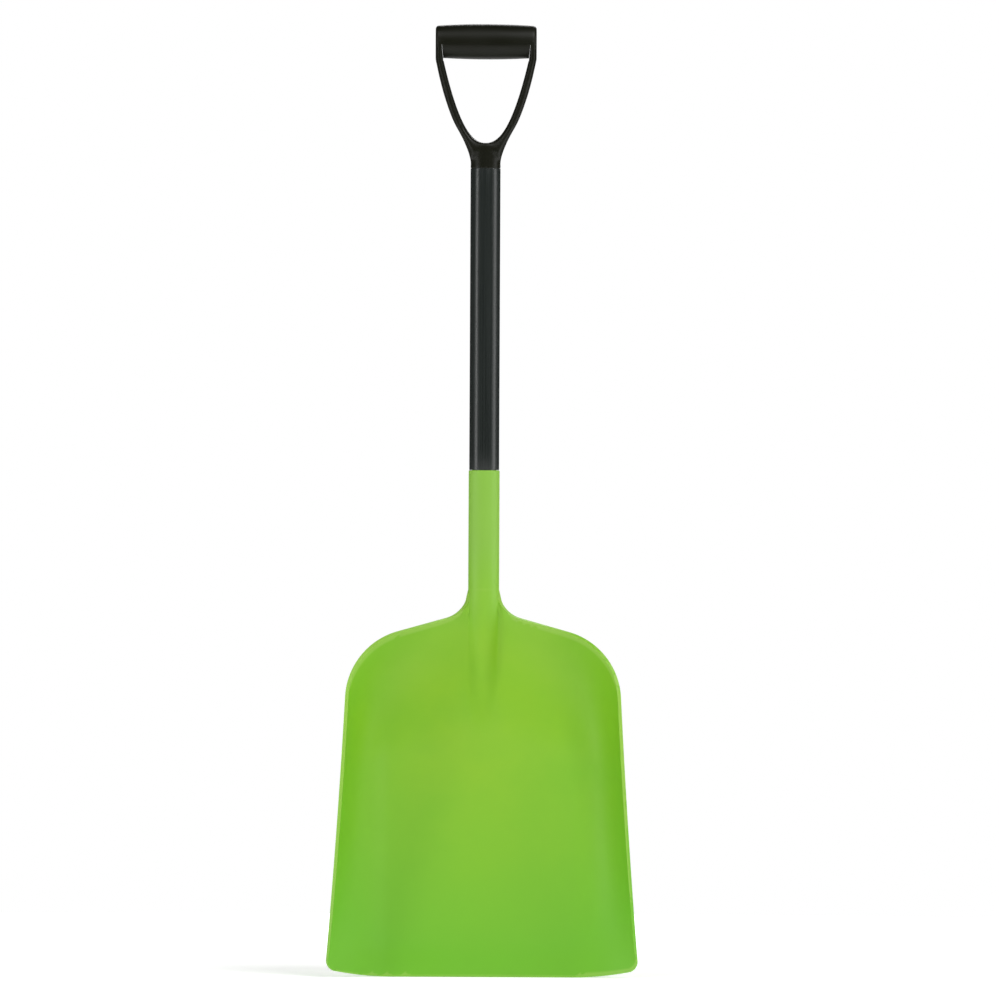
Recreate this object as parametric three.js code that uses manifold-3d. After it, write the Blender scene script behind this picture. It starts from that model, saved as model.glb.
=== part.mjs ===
// Snow shovel: a moulded scoop blade, a sleeved steel shaft and a D-shaped hand grip.
// Millimetres. +Z runs up the shaft, the scooping face looks towards -Y, +X is to its right.
// The shaft's axis is x = 0, y = 0 while the pieces are made; at the end the whole shovel is
// moved so that the origin is the middle of the bottom of its bounding box.

import * as THREE from 'three';
import { mergeVertices } from 'three/addons/utils/BufferGeometryUtils.js';
import Module from 'manifold-3d';

const wasm = await Module();
wasm.setup();

// ---------------------------------------------------------------------------------------------
// Driving dimensions
// ---------------------------------------------------------------------------------------------

const OVERLAP = 1; // how far a cutter or a joined body reaches past the face it meets
const FIT_GAP = 0.3; // clearance left between pieces that touch or fit into each other

// Shaft: a steel core tube inside a plastic sleeve
const CORE_RADIUS = 14;
const CORE_WALL = 1.5;
const SLEEVE_RADIUS = 17.3;
const SLEEVE_LENGTH = 349;
const SLEEVE_EDGE = 0.8; // chamfer on the sleeve's ends

// Blade outline, seen square to the shaft
const LIP_HALF_WIDTH = 180;
const SHOULDER_HALF_WIDTH = 159;
const SHOULDER_RADIUS = 82;
const SHOULDER_SLOPE = THREE.MathUtils.degToRad(15.6); // fall of the back edge towards each side
const BACK_HEIGHT = 425; // where the two sloping back edges would meet on the shaft's axis
const NECK_FILLET = 34; // radius between the socket and the back edge
const SIDE_HOLLOW = 1.3; // how far each side edge is drawn in, halfway up
const LIP_CORNER_RADIUS = 13;

// Blade depth
const LIFT_ANGLE = THREE.MathUtils.degToRad(16); // between the pan's floor and the shaft
const LIP_REACH = 88; // how far the lip's back face stands in front of the shaft's axis
const LIP_WALL_DEPTH = 36; // side wall at the lip
const SHOULDER_WALL_DEPTH = 78; // side and back wall at the shoulders
const FLOOR_FRACTION = 0.58; // flat part of the half width
const BACK_CURVE_START = 0.64; // where the floor starts to rise to the back wall, 0 lip to 1 back
const PAN_WALL = 4;
const LIP_WALL = 2.6; // the pan thins to this at the lip
const LIP_TAPER = 0.09; // share of the pan's height over which it thins

// Ridges that carry the socket into the pan
const FRONT_RIDGE_FOOT = 285; // height at which the ridge in the pan runs out
const REAR_RIDGE_FOOT = 320;
const RIDGE_HALF_WIDTH = 34; // where it is broadest, just below the neck
const RIDGE_FOOT_HALF_WIDTH = 7;
const RIDGE_CLIMB = 0.6; // below 1, so that the ridge rises early and then runs level

// Socket of the blade
const SOCKET_RADIUS = 18;
const SOCKET_LENGTH = 138;
const SOCKET_BORE_DEPTH = 129;
const SOCKET_EDGE = 1.2;

// Hand grip
const NECK_LENGTH = 29; // from the sleeve's end to the bottom of the hand opening
const CORE_IN_GRIP = 22; // how far the core tube enters the grip
const SPIGOT_LENGTH = 70; // plug of the grip inside the core tube
const SPIGOT_WALL = 4;
const SPIGOT_EDGE = 1;
const OPENING_HEIGHT = 97;
const OPENING_HALF_WIDTH = 49.5;
const ARM_THICKNESS = 9; // at the bar
const ARM_HALF_DEPTH = 11.5;
const ARM_SQUARENESS = 2 / 2.6; // exponent of a section between round (1) and square (0)
const ARM_INSET_IN_BAR = 1; // how much shallower than the bar an arm is where it enters
const BAR_HALF_HEIGHT = 20.5;
const BAR_HALF_DEPTH = 16.5;
const BAR_CROWN = 2; // how much thinner the bar is at its ends
const BAR_END_ROUND = 3.5;
const BAR_WALL = 3.2;
const CROTCH_HEIGHT = 9; // of the solid web at the bottom of the hand opening
const CROTCH_CHAMFER = 4;
const SNAP_LIP = 5; // how far the insert's tongue reaches into the upper half of the bar
const SNAP_LIP_WALL = 2.2;

// Screws
const SCREW_RADIUS = 2.1;
const SCREW_LENGTH = 15;
const SCREW_POINT = 4;
const SCREW_HEAD_RADIUS = 4.2;
const SCREW_HEAD_HEIGHT = 2.6;
const SCREW_HEAD_SHAPE = [[1, 0], [1, 0.4], [0.8, 0.8], [0.4, 1]]; // shares of its radius and height
const SCREW_RECESS = { length: 0.55, width: 0.14, floor: 0.45 }; // shares of the same two
const SCREW_PAD_RADIUS = 6.5;
const SCREW_PAD_HEIGHT = 1.2; // above the round surface it stands on
const BLADE_SCREW_DROPS = [38, 98]; // below the socket's rim
const GRIP_SCREW_RISE = 12; // above the grip's lower end

// Facets
const ROUND_SEGMENTS = 40;
const SMALL_ROUND_SEGMENTS = 20;
const NECK_COLUMNS = 4; // columns of the pan's grid in half of the neck
const SIDE_COLUMNS = 14; // and from the neck to each side
const PAN_ROWS = 30;
const OPENING_STEPS = 12;

// ---------------------------------------------------------------------------------------------
// Heights and widths that follow from them
// ---------------------------------------------------------------------------------------------

const BORE_RADIUS = CORE_RADIUS + FIT_GAP;
const FILLET_CENTRE = SOCKET_RADIUS + NECK_FILLET; // from the shaft's axis
const NECK_HEIGHT =
  BACK_HEIGHT - FILLET_CENTRE * Math.tan(SHOULDER_SLOPE) + NECK_FILLET / Math.cos(SHOULDER_SLOPE);
const SOCKET_TOP = NECK_HEIGHT + SOCKET_LENGTH;
const SOCKET_BORE_FLOOR = SOCKET_TOP - SOCKET_BORE_DEPTH;
const CORE_BOTTOM = SOCKET_BORE_FLOOR + FIT_GAP;
const SLEEVE_BOTTOM = SOCKET_TOP + FIT_GAP;
const SLEEVE_TOP = SLEEVE_BOTTOM + SLEEVE_LENGTH;
const GRIP_BOTTOM = SLEEVE_TOP + FIT_GAP;
const CORE_LENGTH = GRIP_BOTTOM + CORE_IN_GRIP - CORE_BOTTOM;

// Heights inside the grip are counted from its lower end.
const BAR_BOTTOM = NECK_LENGTH + OPENING_HEIGHT;
const BAR_MIDDLE = BAR_BOTTOM + BAR_HALF_HEIGHT;
const BAR_HALF_LENGTH = OPENING_HALF_WIDTH + ARM_THICKNESS;

// The back wall's depth beside the neck brings the pan's wall onto the shaft's axis.
const NECK_WALL_DEPTH = NECK_HEIGHT * Math.tan(LIFT_ANGLE) - LIP_REACH - PAN_WALL / 2;

// ---------------------------------------------------------------------------------------------
// Helpers
// ---------------------------------------------------------------------------------------------

const { lerp, clamp, smoothstep } = THREE.MathUtils;

/** Closed three.js geometry to a solid that can be joined and cut. */
function toSolid(geometry) {
  const bare = geometry.clone();
  bare.deleteAttribute('normal');
  bare.deleteAttribute('uv');
  const merged = mergeVertices(bare, 1e-4);
  const corners = merged.index.array;
  const triVerts = [];
  for (let i = 0; i < corners.length; i += 3) {
    const [a, b, c] = corners.slice(i, i + 3);
    if (a !== b && b !== c && c !== a) triVerts.push(a, b, c);
  }
  return new wasm.Manifold(
    new wasm.Mesh({
      numProp: 3,
      vertProperties: new Float32Array(merged.attributes.position.array),
      triVerts: new Uint32Array(triVerts),
    }),
  );
}

/** Solid back to a geometry for a mesh. */
function toGeometry(solid) {
  const mesh = solid.getMesh();
  const geometry = new THREE.BufferGeometry();
  geometry.setAttribute('position', new THREE.BufferAttribute(mesh.vertProperties, 3));
  geometry.setIndex(new THREE.BufferAttribute(mesh.triVerts, 1));
  geometry.computeVertexNormals();
  return geometry;
}

/** Solid of revolution about Z from [radius, height] points that start and end on the axis. */
function turned(points) {
  const profile = points.map(([radius, height]) => new THREE.Vector2(radius, height));
  return toSolid(new THREE.LatheGeometry(profile, ROUND_SEGMENTS).rotateX(Math.PI / 2));
}

/** Upright ring from [radius, height] points of a closed section. */
function ring(points) {
  return turned([...points, points[0]]);
}

/** Box between two corners. */
function block(low, high) {
  const size = high.map((value, i) => value - low[i]);
  const centre = high.map((value, i) => (value + low[i]) / 2);
  return toSolid(new THREE.BoxGeometry(...size).translate(...centre));
}

/** Rod along Y at a height, between two values of y. */
function rodAlongY(radius, height, near, far) {
  const rod = new THREE.CylinderGeometry(radius, radius, far - near, SMALL_ROUND_SEGMENTS);
  return toSolid(rod.translate(0, (near + far) / 2, height));
}

/** Moves every vertex of a geometry to where place(vertex) says. */
function warped(geometry, place) {
  const position = geometry.attributes.position;
  const vertex = new THREE.Vector3();
  for (let i = 0; i < position.count; i += 1) {
    vertex.fromBufferAttribute(position, i);
    position.setXYZ(i, ...place(vertex));
  }
  return geometry;
}

function material(color, roughness, metalness) {
  return new THREE.MeshStandardMaterial({ color, roughness, metalness });
}

// ---------------------------------------------------------------------------------------------
// Blade
// ---------------------------------------------------------------------------------------------

const COLUMNS = NECK_COLUMNS + SIDE_COLUMNS;
const NECK_SHARE = NECK_COLUMNS / COLUMNS; // share of the columns that belongs to the neck
const NECK_WIDTH_SHARE = 0.12; // and the share of the lip's width that they take
const FILLET_START = THREE.MathUtils.degToRad(205);

/** Right half of the blade's back edge, from the neck round the shoulder to the side. */
function backEdge() {
  const slope = Math.tan(SHOULDER_SLOPE);
  const fillet = new THREE.Vector2(FILLET_CENTRE, NECK_HEIGHT);
  const sideLean = Math.atan2(LIP_HALF_WIDTH - SHOULDER_HALF_WIDTH, BACK_HEIGHT - SHOULDER_RADIUS);
  const shoulderX = SHOULDER_HALF_WIDTH - SHOULDER_RADIUS * Math.cos(sideLean);
  const shoulderZ = BACK_HEIGHT - shoulderX * slope - SHOULDER_RADIUS / Math.cos(SHOULDER_SLOPE);
  const edge = new THREE.Path();
  edge.moveTo(SOCKET_RADIUS, NECK_HEIGHT);
  edge.lineTo(
    fillet.x + NECK_FILLET * Math.cos(FILLET_START),
    fillet.y + NECK_FILLET * Math.sin(FILLET_START),
  );
  edge.absarc(fillet.x, fillet.y, NECK_FILLET, FILLET_START, 1.5 * Math.PI - SHOULDER_SLOPE, false);
  edge.absarc(shoulderX, shoulderZ, SHOULDER_RADIUS, Math.PI / 2 - SHOULDER_SLOPE, sideLean, true);
  return edge;
}

const BACK_EDGE = backEdge();

/** How far up its curved stretch a point is, 0 on the flat floor and 1 at the wall's top. */
function rise(value, start) {
  return clamp((value - start) / (1 - start), 0, 1) ** 2;
}

/**
 * Outer face of the pan. across runs -1 to 1 from side to side, up runs 0 to 1 from the lip to
 * the back edge.
 */
function outerFace(across, up) {
  const q = Math.abs(across);
  const inNeck = q <= NECK_SHARE;
  const along = inNeck ? 0 : (q - NECK_SHARE) / (1 - NECK_SHARE);
  const lipShare = inNeck ? (q / NECK_SHARE) * NECK_WIDTH_SHARE : lerp(NECK_WIDTH_SHARE, 1, along);
  const back = BACK_EDGE.getPoint(along);
  if (inNeck) back.x = SOCKET_RADIUS * Math.sin((q / NECK_SHARE) * (Math.PI / 2));

  const sideRise = rise(lipShare, FLOOR_FRACTION);
  const backRise = rise(up, BACK_CURVE_START);
  const backDepth = lerp(NECK_WALL_DEPTH, SHOULDER_WALL_DEPTH, smoothstep(along, 0, 1));
  const depth = lerp(LIP_WALL_DEPTH, backDepth, up) * (sideRise + backRise - sideRise * backRise);

  const lipHeight = LIP_WALL_DEPTH * sideRise * Math.sin(LIFT_ANGLE) * Math.cos(LIFT_ANGLE);
  const x = lerp(LIP_HALF_WIDTH * lipShare, back.x, up) - SIDE_HOLLOW * 4 * up * (1 - up) * sideRise;
  const z = lerp(lipHeight, back.y, up);
  const y = z * Math.tan(LIFT_ANGLE) - LIP_REACH - depth;
  return new THREE.Vector3(Math.sign(across) * x, y, z);
}

/** Direction square to the outer face, into the scoop. */
function inwardNormal(across, up) {
  const step = 1e-3;
  const ends = (value, low) => [Math.max(value - step, low), Math.min(value + step, 1)];
  const [left, right] = ends(across, -1);
  const [below, above] = ends(up, 0);
  const sideways = outerFace(right, up).sub(outerFace(left, up));
  const upwards = outerFace(across, above).sub(outerFace(across, below));
  return sideways.cross(upwards).normalize();
}

/** How much of a ridge's height a point has: 1 on its crest, 0 beyond its half width. */
function ridgeShare(point, foot) {
  const climb = smoothstep(point.z, foot, NECK_HEIGHT) ** RIDGE_CLIMB;
  const neckward = smoothstep(point.z, NECK_HEIGHT - 2 * SOCKET_RADIUS, NECK_HEIGHT);
  const spread = clamp((point.z - foot) / (NECK_HEIGHT - 2 * SOCKET_RADIUS - foot), 0, 1);
  const halfWidth = lerp(lerp(RIDGE_FOOT_HALF_WIDTH, RIDGE_HALF_WIDTH, spread), SOCKET_RADIUS, neckward);
  const offset = clamp(point.x / halfWidth, -1, 1);
  const roundness = lerp(2, 0.5, neckward); // a soft hump in the pan, a half circle at the neck
  return climb * (1 - offset ** 2) ** roundness;
}

/** The pan: a thin box bent to shape, with the ridge in front and the swelling behind. */
function pan() {
  const sheet = new THREE.BoxGeometry(2, 1, 1, 2 * COLUMNS, PAN_ROWS, 1);
  return toSolid(
    warped(sheet, (vertex) => {
      const across = vertex.x;
      const up = vertex.y + 0.5;
      const point = outerFace(across, up);
      if (vertex.z < 0) {
        point.y += Math.max(0, SOCKET_RADIUS - point.y) * ridgeShare(point, REAR_RIDGE_FOOT);
      } else {
        const wall = lerp(LIP_WALL, PAN_WALL, smoothstep(up, 0, LIP_TAPER));
        point.addScaledVector(inwardNormal(across, up), wall);
        point.y -= Math.max(0, SOCKET_RADIUS + point.y) * ridgeShare(point, FRONT_RIDGE_FOOT);
      }
      return point;
    }),
  );
}

/** What rounds off one lower corner of the blade: the space outside an arc tangent to both edges. */
function lipCornerCutter(side) {
  const reach = 2 * LIP_CORNER_RADIUS;
  const corner = outerFace(1, 0);
  const beside = outerFace(1 - 1e-3, 0);
  const above = outerFace(1, 1e-3);
  const bottomSlope = Math.atan2(corner.z - beside.z, corner.x - beside.x);
  const sideLean = Math.atan2(corner.x - above.x, above.z - corner.z);
  const setBack = LIP_CORNER_RADIUS / Math.tan(Math.PI / 4 + (bottomSlope - sideLean) / 2);
  const centreX = corner.x - setBack * Math.cos(bottomSlope) - LIP_CORNER_RADIUS * Math.sin(bottomSlope);
  const centreZ = corner.z - setBack * Math.sin(bottomSlope) + LIP_CORNER_RADIUS * Math.cos(bottomSlope);
  const outline = new THREE.Path();
  outline.absarc(centreX, centreZ, LIP_CORNER_RADIUS, bottomSlope - Math.PI / 2, sideLean, false);
  const arc = outline.getPoints(6);
  const outside = [
    new THREE.Vector2(corner.x + reach, arc.at(-1).y),
    new THREE.Vector2(corner.x + reach, corner.z - reach),
    new THREE.Vector2(arc[0].x, corner.z - reach),
  ];
  const outlined = [...arc, ...outside].map((point) => new THREE.Vector2(side * point.x, point.y));
  const shape = new THREE.Shape(outlined);
  const depth = LIP_REACH + 2 * LIP_WALL_DEPTH;
  return toSolid(new THREE.ExtrudeGeometry(shape, { depth, bevelEnabled: false }).rotateX(Math.PI / 2));
}

/** Socket with its foot sunk into the neck of the pan, still without its bore. */
function socket() {
  const sunk = SOCKET_RADIUS;
  return turned([
    [0, NECK_HEIGHT - sunk],
    [SOCKET_RADIUS / 2, NECK_HEIGHT - sunk],
    [SOCKET_RADIUS, NECK_HEIGHT],
    [SOCKET_RADIUS, SOCKET_TOP - SOCKET_EDGE],
    [SOCKET_RADIUS - SOCKET_EDGE, SOCKET_TOP],
    [0, SOCKET_TOP],
  ]);
}

/** Clearance hole for a screw that enters a piece of a given radius from behind. */
function screwHole(height, radius) {
  return rodAlongY(SCREW_RADIUS + FIT_GAP, height, 0, radius + 2 * SCREW_PAD_HEIGHT);
}

/** Flat pad for a screw head on the back of a round piece. */
function screwPad(height, radius) {
  return rodAlongY(SCREW_PAD_RADIUS, height, radius - CORE_WALL, radius + SCREW_PAD_HEIGHT);
}

function blade() {
  let solid = pan().subtract(lipCornerCutter(1)).subtract(lipCornerCutter(-1)).add(socket());
  for (const drop of BLADE_SCREW_DROPS) solid = solid.add(screwPad(SOCKET_TOP - drop, SOCKET_RADIUS));
  solid = solid.subtract(
    turned([
      [0, SOCKET_BORE_FLOOR],
      [BORE_RADIUS, SOCKET_BORE_FLOOR],
      [BORE_RADIUS, SOCKET_TOP + OVERLAP],
      [0, SOCKET_TOP + OVERLAP],
    ]),
  );
  for (const drop of BLADE_SCREW_DROPS) solid = solid.subtract(screwHole(SOCKET_TOP - drop, SOCKET_RADIUS));
  return toGeometry(solid);
}

// ---------------------------------------------------------------------------------------------
// Shaft, each piece counted from its own lower end
// ---------------------------------------------------------------------------------------------

function coreTube() {
  const inner = CORE_RADIUS - CORE_WALL;
  let solid = ring([
    [inner, 0],
    [CORE_RADIUS, 0],
    [CORE_RADIUS, CORE_LENGTH],
    [inner, CORE_LENGTH],
  ]);
  const holes = [...BLADE_SCREW_DROPS.map((drop) => SOCKET_TOP - drop), GRIP_BOTTOM + GRIP_SCREW_RISE];
  for (const height of holes) solid = solid.subtract(screwHole(height - CORE_BOTTOM, CORE_RADIUS));
  return toGeometry(solid);
}

function sleeve() {
  return toGeometry(
    ring([
      [BORE_RADIUS, 0],
      [SLEEVE_RADIUS - SLEEVE_EDGE, 0],
      [SLEEVE_RADIUS, SLEEVE_EDGE],
      [SLEEVE_RADIUS, SLEEVE_LENGTH - SLEEVE_EDGE],
      [SLEEVE_RADIUS - SLEEVE_EDGE, SLEEVE_LENGTH],
      [BORE_RADIUS, SLEEVE_LENGTH],
    ]),
  );
}

// ---------------------------------------------------------------------------------------------
// Hand grip, counted from its lower end
// ---------------------------------------------------------------------------------------------

// Outside of an arm: share of the widening from the neck to the bar, at shares of its height
const ARM_OUTSIDE = new THREE.SplineCurve(
  [
    [0, 0],
    [0.03, 0.11],
    [0.21, 0.26],
    [0.5, 0.44],
    [0.715, 0.63],
    [0.87, 0.81],
    [1, 1],
  ].map(([widening, height]) => new THREE.Vector2(widening, height)),
);
const ARM_SHARE = 0.86; // part of an arm's length that lies below the bar
const ARM_START = 0.12; // where on the curve the arm's first section lies
const ARM_SLIM_AT = 0.45; // share of its length at which an arm is slimmest, seen from the side
const ARM_DEEPER_FROM = 0.55;
const OPENING_FLARE = 0.9; // below 1, so that the opening's sides bow outwards

/** Inner and outer edge of an arm, seen from the front, at 0 its foot to 1 inside the bar. */
function armEdges(share) {
  const below = Math.min(share / ARM_SHARE, 1);
  const intoBar = Math.max(0, (share - ARM_SHARE) / (1 - ARM_SHARE)) * BAR_HALF_HEIGHT;
  const outside = ARM_OUTSIDE.getPoint(lerp(ARM_START, 1, below));
  const innerX = OPENING_HALF_WIDTH * below ** OPENING_FLARE;
  const innerHeight = NECK_LENGTH + OPENING_HEIGHT * below ** 2;
  const outerX = lerp(SLEEVE_RADIUS, BAR_HALF_LENGTH, outside.x);
  const outerHeight = BAR_BOTTOM * outside.y;
  return {
    inner: new THREE.Vector2(innerX, innerHeight + intoBar),
    outer: new THREE.Vector2(outerX, outerHeight + intoBar),
  };
}

/** One arm of the D: rounded sections spanned between its inner and outer edge. */
function arm(side) {
  const rounded = (value) => Math.sign(value) * Math.abs(value) ** ARM_SQUARENESS;
  return toSolid(
    warped(new THREE.CylinderGeometry(1, 1, 1, 16, 15), (vertex) => {
      const share = vertex.y + 0.5;
      const { inner, outer } = armEdges(share);
      const middle = inner.clone().add(outer).multiplyScalar(0.5);
      const half = outer.clone().sub(inner).multiplyScalar(0.5 * rounded(vertex.x));
      const slim = lerp(SLEEVE_RADIUS, ARM_HALF_DEPTH, smoothstep(share, 0, ARM_SLIM_AT));
      const deepening = smoothstep(share, ARM_DEEPER_FROM, ARM_SHARE);
      const depth = lerp(slim, BAR_HALF_DEPTH - ARM_INSET_IN_BAR, deepening);
      return [side * (middle.x + half.x), -side * depth * rounded(vertex.z), middle.y + half.y];
    }),
  );
}

/** The bar as a solid barrel along X, made smaller all round by an inset. */
function barrel(inset) {
  const halfLength = BAR_HALF_LENGTH - inset;
  const ends = BAR_END_ROUND;
  return toSolid(
    warped(new THREE.CylinderGeometry(1, 1, 2, 24, 12), (vertex) => {
      const x = halfLength * Math.sin((vertex.y * Math.PI) / 2);
      const fromEnd = Math.min(halfLength - Math.abs(x), ends);
      const rounding = ends - Math.sqrt(ends ** 2 - (ends - fromEnd) ** 2);
      const crown = BAR_CROWN * (x / BAR_HALF_LENGTH) ** 2;
      const halfHeight = BAR_HALF_HEIGHT - inset - crown - rounding;
      const halfDepth = BAR_HALF_DEPTH - inset - crown - rounding;
      return [x, -halfDepth * vertex.x, BAR_MIDDLE + halfHeight * vertex.z];
    }),
  );
}

/** The hand opening, cut right through from front to back. */
function handOpening() {
  const right = [];
  for (let i = 0; i <= OPENING_STEPS; i += 1) {
    right.push(armEdges((ARM_SHARE * i) / OPENING_STEPS).inner);
  }
  const left = right.slice(1).reverse().map((point) => new THREE.Vector2(-point.x, point.y));
  const depth = 4 * SLEEVE_RADIUS;
  const shape = new THREE.Shape([...right, ...left]);
  const prism = new THREE.ExtrudeGeometry(shape, { depth, bevelEnabled: false });
  return toSolid(prism.rotateX(Math.PI / 2).translate(0, depth / 2, 0));
}

const TONGUE_INSET = BAR_WALL + FIT_GAP;
const WIDE = 2 * BAR_MIDDLE; // reaches past the grip on every side

function gripYoke() {
  const neck = turned([
    [0, 0],
    [SLEEVE_RADIUS, 0],
    [SLEEVE_RADIUS, NECK_LENGTH + CROTCH_CHAMFER],
    [SLEEVE_RADIUS - CROTCH_CHAMFER, NECK_LENGTH + CROTCH_HEIGHT],
    [0, NECK_LENGTH + CROTCH_HEIGHT],
  ]);
  const spigotRadius = CORE_RADIUS - CORE_WALL - FIT_GAP;
  const recess = ring([
    [spigotRadius, -OVERLAP],
    [BORE_RADIUS, -OVERLAP],
    [BORE_RADIUS, CORE_IN_GRIP + FIT_GAP],
    [spigotRadius, CORE_IN_GRIP + FIT_GAP],
  ]);
  const spigot = turned([
    [0, -SPIGOT_LENGTH],
    [spigotRadius - SPIGOT_EDGE, -SPIGOT_LENGTH],
    [spigotRadius, SPIGOT_EDGE - SPIGOT_LENGTH],
    [spigotRadius, OVERLAP],
    [0, OVERLAP],
  ]);
  const spigotHollow = turned([
    [0, -SPIGOT_LENGTH - OVERLAP],
    [spigotRadius - SPIGOT_WALL, -SPIGOT_LENGTH - OVERLAP],
    [spigotRadius - SPIGOT_WALL, CORE_IN_GRIP],
    [0, CORE_IN_GRIP],
  ]);
  const side = OPENING_HALF_WIDTH;
  const betweenArms = (low, high) => block([-side, -WIDE, low], [side, WIDE, high]);
  const solid = neck
    .add(arm(1))
    .add(arm(-1))
    .add(barrel(0))
    .subtract(handOpening())
    .subtract(betweenArms(BAR_BOTTOM - OVERLAP, BAR_MIDDLE))
    .subtract(barrel(BAR_WALL).intersect(betweenArms(0, WIDE)))
    .add(screwPad(GRIP_SCREW_RISE, SLEEVE_RADIUS))
    .subtract(recess)
    .add(spigot)
    .subtract(spigotHollow)
    .subtract(screwHole(GRIP_SCREW_RISE, SLEEVE_RADIUS));
  return toGeometry(solid);
}

/** Lower half of the bar, with the tongue that snaps into the upper half. */
function gripInsert() {
  const end = OPENING_HALF_WIDTH - FIT_GAP;
  const shell = barrel(0).intersect(block([-end, -WIDE, 0], [end, WIDE, BAR_MIDDLE - FIT_GAP]));
  const tongueSpace = block([-end, -WIDE, BAR_MIDDLE - SNAP_LIP], [end, WIDE, BAR_MIDDLE + SNAP_LIP]);
  const tongue = barrel(TONGUE_INSET).intersect(tongueSpace);
  const hollowEnd = end - SNAP_LIP_WALL;
  const hollowSpace = block([-hollowEnd, -WIDE, 0], [hollowEnd, WIDE, WIDE]);
  const hollow = barrel(TONGUE_INSET + SNAP_LIP_WALL).intersect(hollowSpace);
  return toGeometry(shell.add(tongue).subtract(hollow));
}

// ---------------------------------------------------------------------------------------------
// Pan-head screw along Y: its head's underside is y = 0, its point lies towards -Y
// ---------------------------------------------------------------------------------------------

function screw() {
  const profile = [
    [0, -SCREW_LENGTH],
    [SCREW_RADIUS, SCREW_POINT - SCREW_LENGTH],
    [SCREW_RADIUS, 0],
    ...SCREW_HEAD_SHAPE.map(([wide, high]) => [wide * SCREW_HEAD_RADIUS, high * SCREW_HEAD_HEIGHT]),
    [0, SCREW_HEAD_HEIGHT],
  ].map(([radius, height]) => new THREE.Vector2(radius, height));
  const blank = toSolid(new THREE.LatheGeometry(profile, SMALL_ROUND_SEGMENTS));
  const long = SCREW_HEAD_RADIUS * SCREW_RECESS.length;
  const wide = SCREW_HEAD_RADIUS * SCREW_RECESS.width;
  const floor = SCREW_HEAD_HEIGHT * SCREW_RECESS.floor;
  const top = SCREW_HEAD_HEIGHT + OVERLAP;
  const across = block([-long, floor, -wide], [long, top, wide]);
  const upright = block([-wide, floor, -long], [wide, top, long]);
  return toGeometry(blank.subtract(across).subtract(upright));
}

// ---------------------------------------------------------------------------------------------
// Assembly
// ---------------------------------------------------------------------------------------------

const limePolypropylene = material(0x7cbb3a, 0.5, 0);
const blackPolypropylene = material(0x1f201c, 0.45, 0);
const blackSleeve = material(0x262a28, 0.4, 0);
const galvanisedSteel = material(0x9a9d9e, 0.45, 1);
const screwSteel = material(0xb4b6b4, 0.35, 1);

function part(name, geometry, finish, height = 0) {
  const mesh = new THREE.Mesh(geometry, finish);
  mesh.name = name;
  mesh.position.z = height;
  return mesh;
}

/** A screw driven in from behind, its head on the pad of a piece of a given radius. */
function placedScrew(name, radius, height) {
  const mesh = part(name, screw(), screwSteel.clone(), height);
  mesh.position.y = radius + SCREW_PAD_HEIGHT + FIT_GAP;
  return mesh;
}

const bladeGroup = new THREE.Group();
bladeGroup.add(part('blade', blade(), limePolypropylene));
['blade_screw_upper', 'blade_screw_lower'].forEach((name, i) => {
  bladeGroup.add(placedScrew(name, SOCKET_RADIUS, SOCKET_TOP - BLADE_SCREW_DROPS[i]));
});

const shaftGroup = new THREE.Group();
shaftGroup.add(part('core_tube', coreTube(), galvanisedSteel, CORE_BOTTOM));
shaftGroup.add(part('shaft_sleeve', sleeve(), blackSleeve, SLEEVE_BOTTOM));

const gripGroup = new THREE.Group();
gripGroup.position.z = GRIP_BOTTOM;
gripGroup.add(part('grip_yoke', gripYoke(), blackPolypropylene));
gripGroup.add(part('grip_insert', gripInsert(), blackPolypropylene.clone()));
gripGroup.add(placedScrew('grip_screw', SLEEVE_RADIUS, GRIP_SCREW_RISE));

const shovel = new THREE.Group();
shovel.add(bladeGroup, shaftGroup, gripGroup);

const extent = new THREE.Box3().setFromObject(shovel, true);
shovel.position.set(0, -(extent.min.y + extent.max.y) / 2, -extent.min.z);

const group = new THREE.Group();
group.add(shovel);

export default group;
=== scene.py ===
"""Snow shovel: a lime green moulded scoop blade, a black sleeved shaft and a black D-shaped grip.

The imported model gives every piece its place. The blade, the sleeve, the grip and the screws are
modelled again here with finer surfaces; the core tube keeps its own mesh. Shapes are worked out
in millimetres round the shaft's axis and moved into the frame, in metres, when they are finished.
"""

import logging
import math
from dataclasses import dataclass, field
from enum import Enum
from typing import Any, Callable, Iterable, Sequence

import bmesh
import bpy
from bmesh.types import BMEdge, BMesh, BMVert
from mathutils import Matrix, Vector


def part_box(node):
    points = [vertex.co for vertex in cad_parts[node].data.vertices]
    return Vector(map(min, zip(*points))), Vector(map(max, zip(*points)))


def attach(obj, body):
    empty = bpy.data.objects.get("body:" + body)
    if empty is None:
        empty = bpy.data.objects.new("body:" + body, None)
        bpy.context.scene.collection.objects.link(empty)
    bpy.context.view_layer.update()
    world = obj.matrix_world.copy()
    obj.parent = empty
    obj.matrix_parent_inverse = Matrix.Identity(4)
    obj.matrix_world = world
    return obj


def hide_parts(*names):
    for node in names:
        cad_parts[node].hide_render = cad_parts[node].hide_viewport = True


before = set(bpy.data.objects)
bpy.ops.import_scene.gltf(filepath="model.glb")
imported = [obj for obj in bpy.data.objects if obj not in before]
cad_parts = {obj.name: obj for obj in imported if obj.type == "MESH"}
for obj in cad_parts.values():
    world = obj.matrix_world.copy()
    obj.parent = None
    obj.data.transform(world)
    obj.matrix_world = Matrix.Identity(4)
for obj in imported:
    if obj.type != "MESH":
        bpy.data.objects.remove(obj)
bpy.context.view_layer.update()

BODY = "root"
MM = 0.001
FIT_GAP = 0.3  # between pieces that touch or fit into each other, in millimetres
TINY = 1e-4
STEEP = math.radians(60)
LOG = logging.getLogger("snow_shovel")
Placer = Callable[[Vector], Vector]
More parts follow.
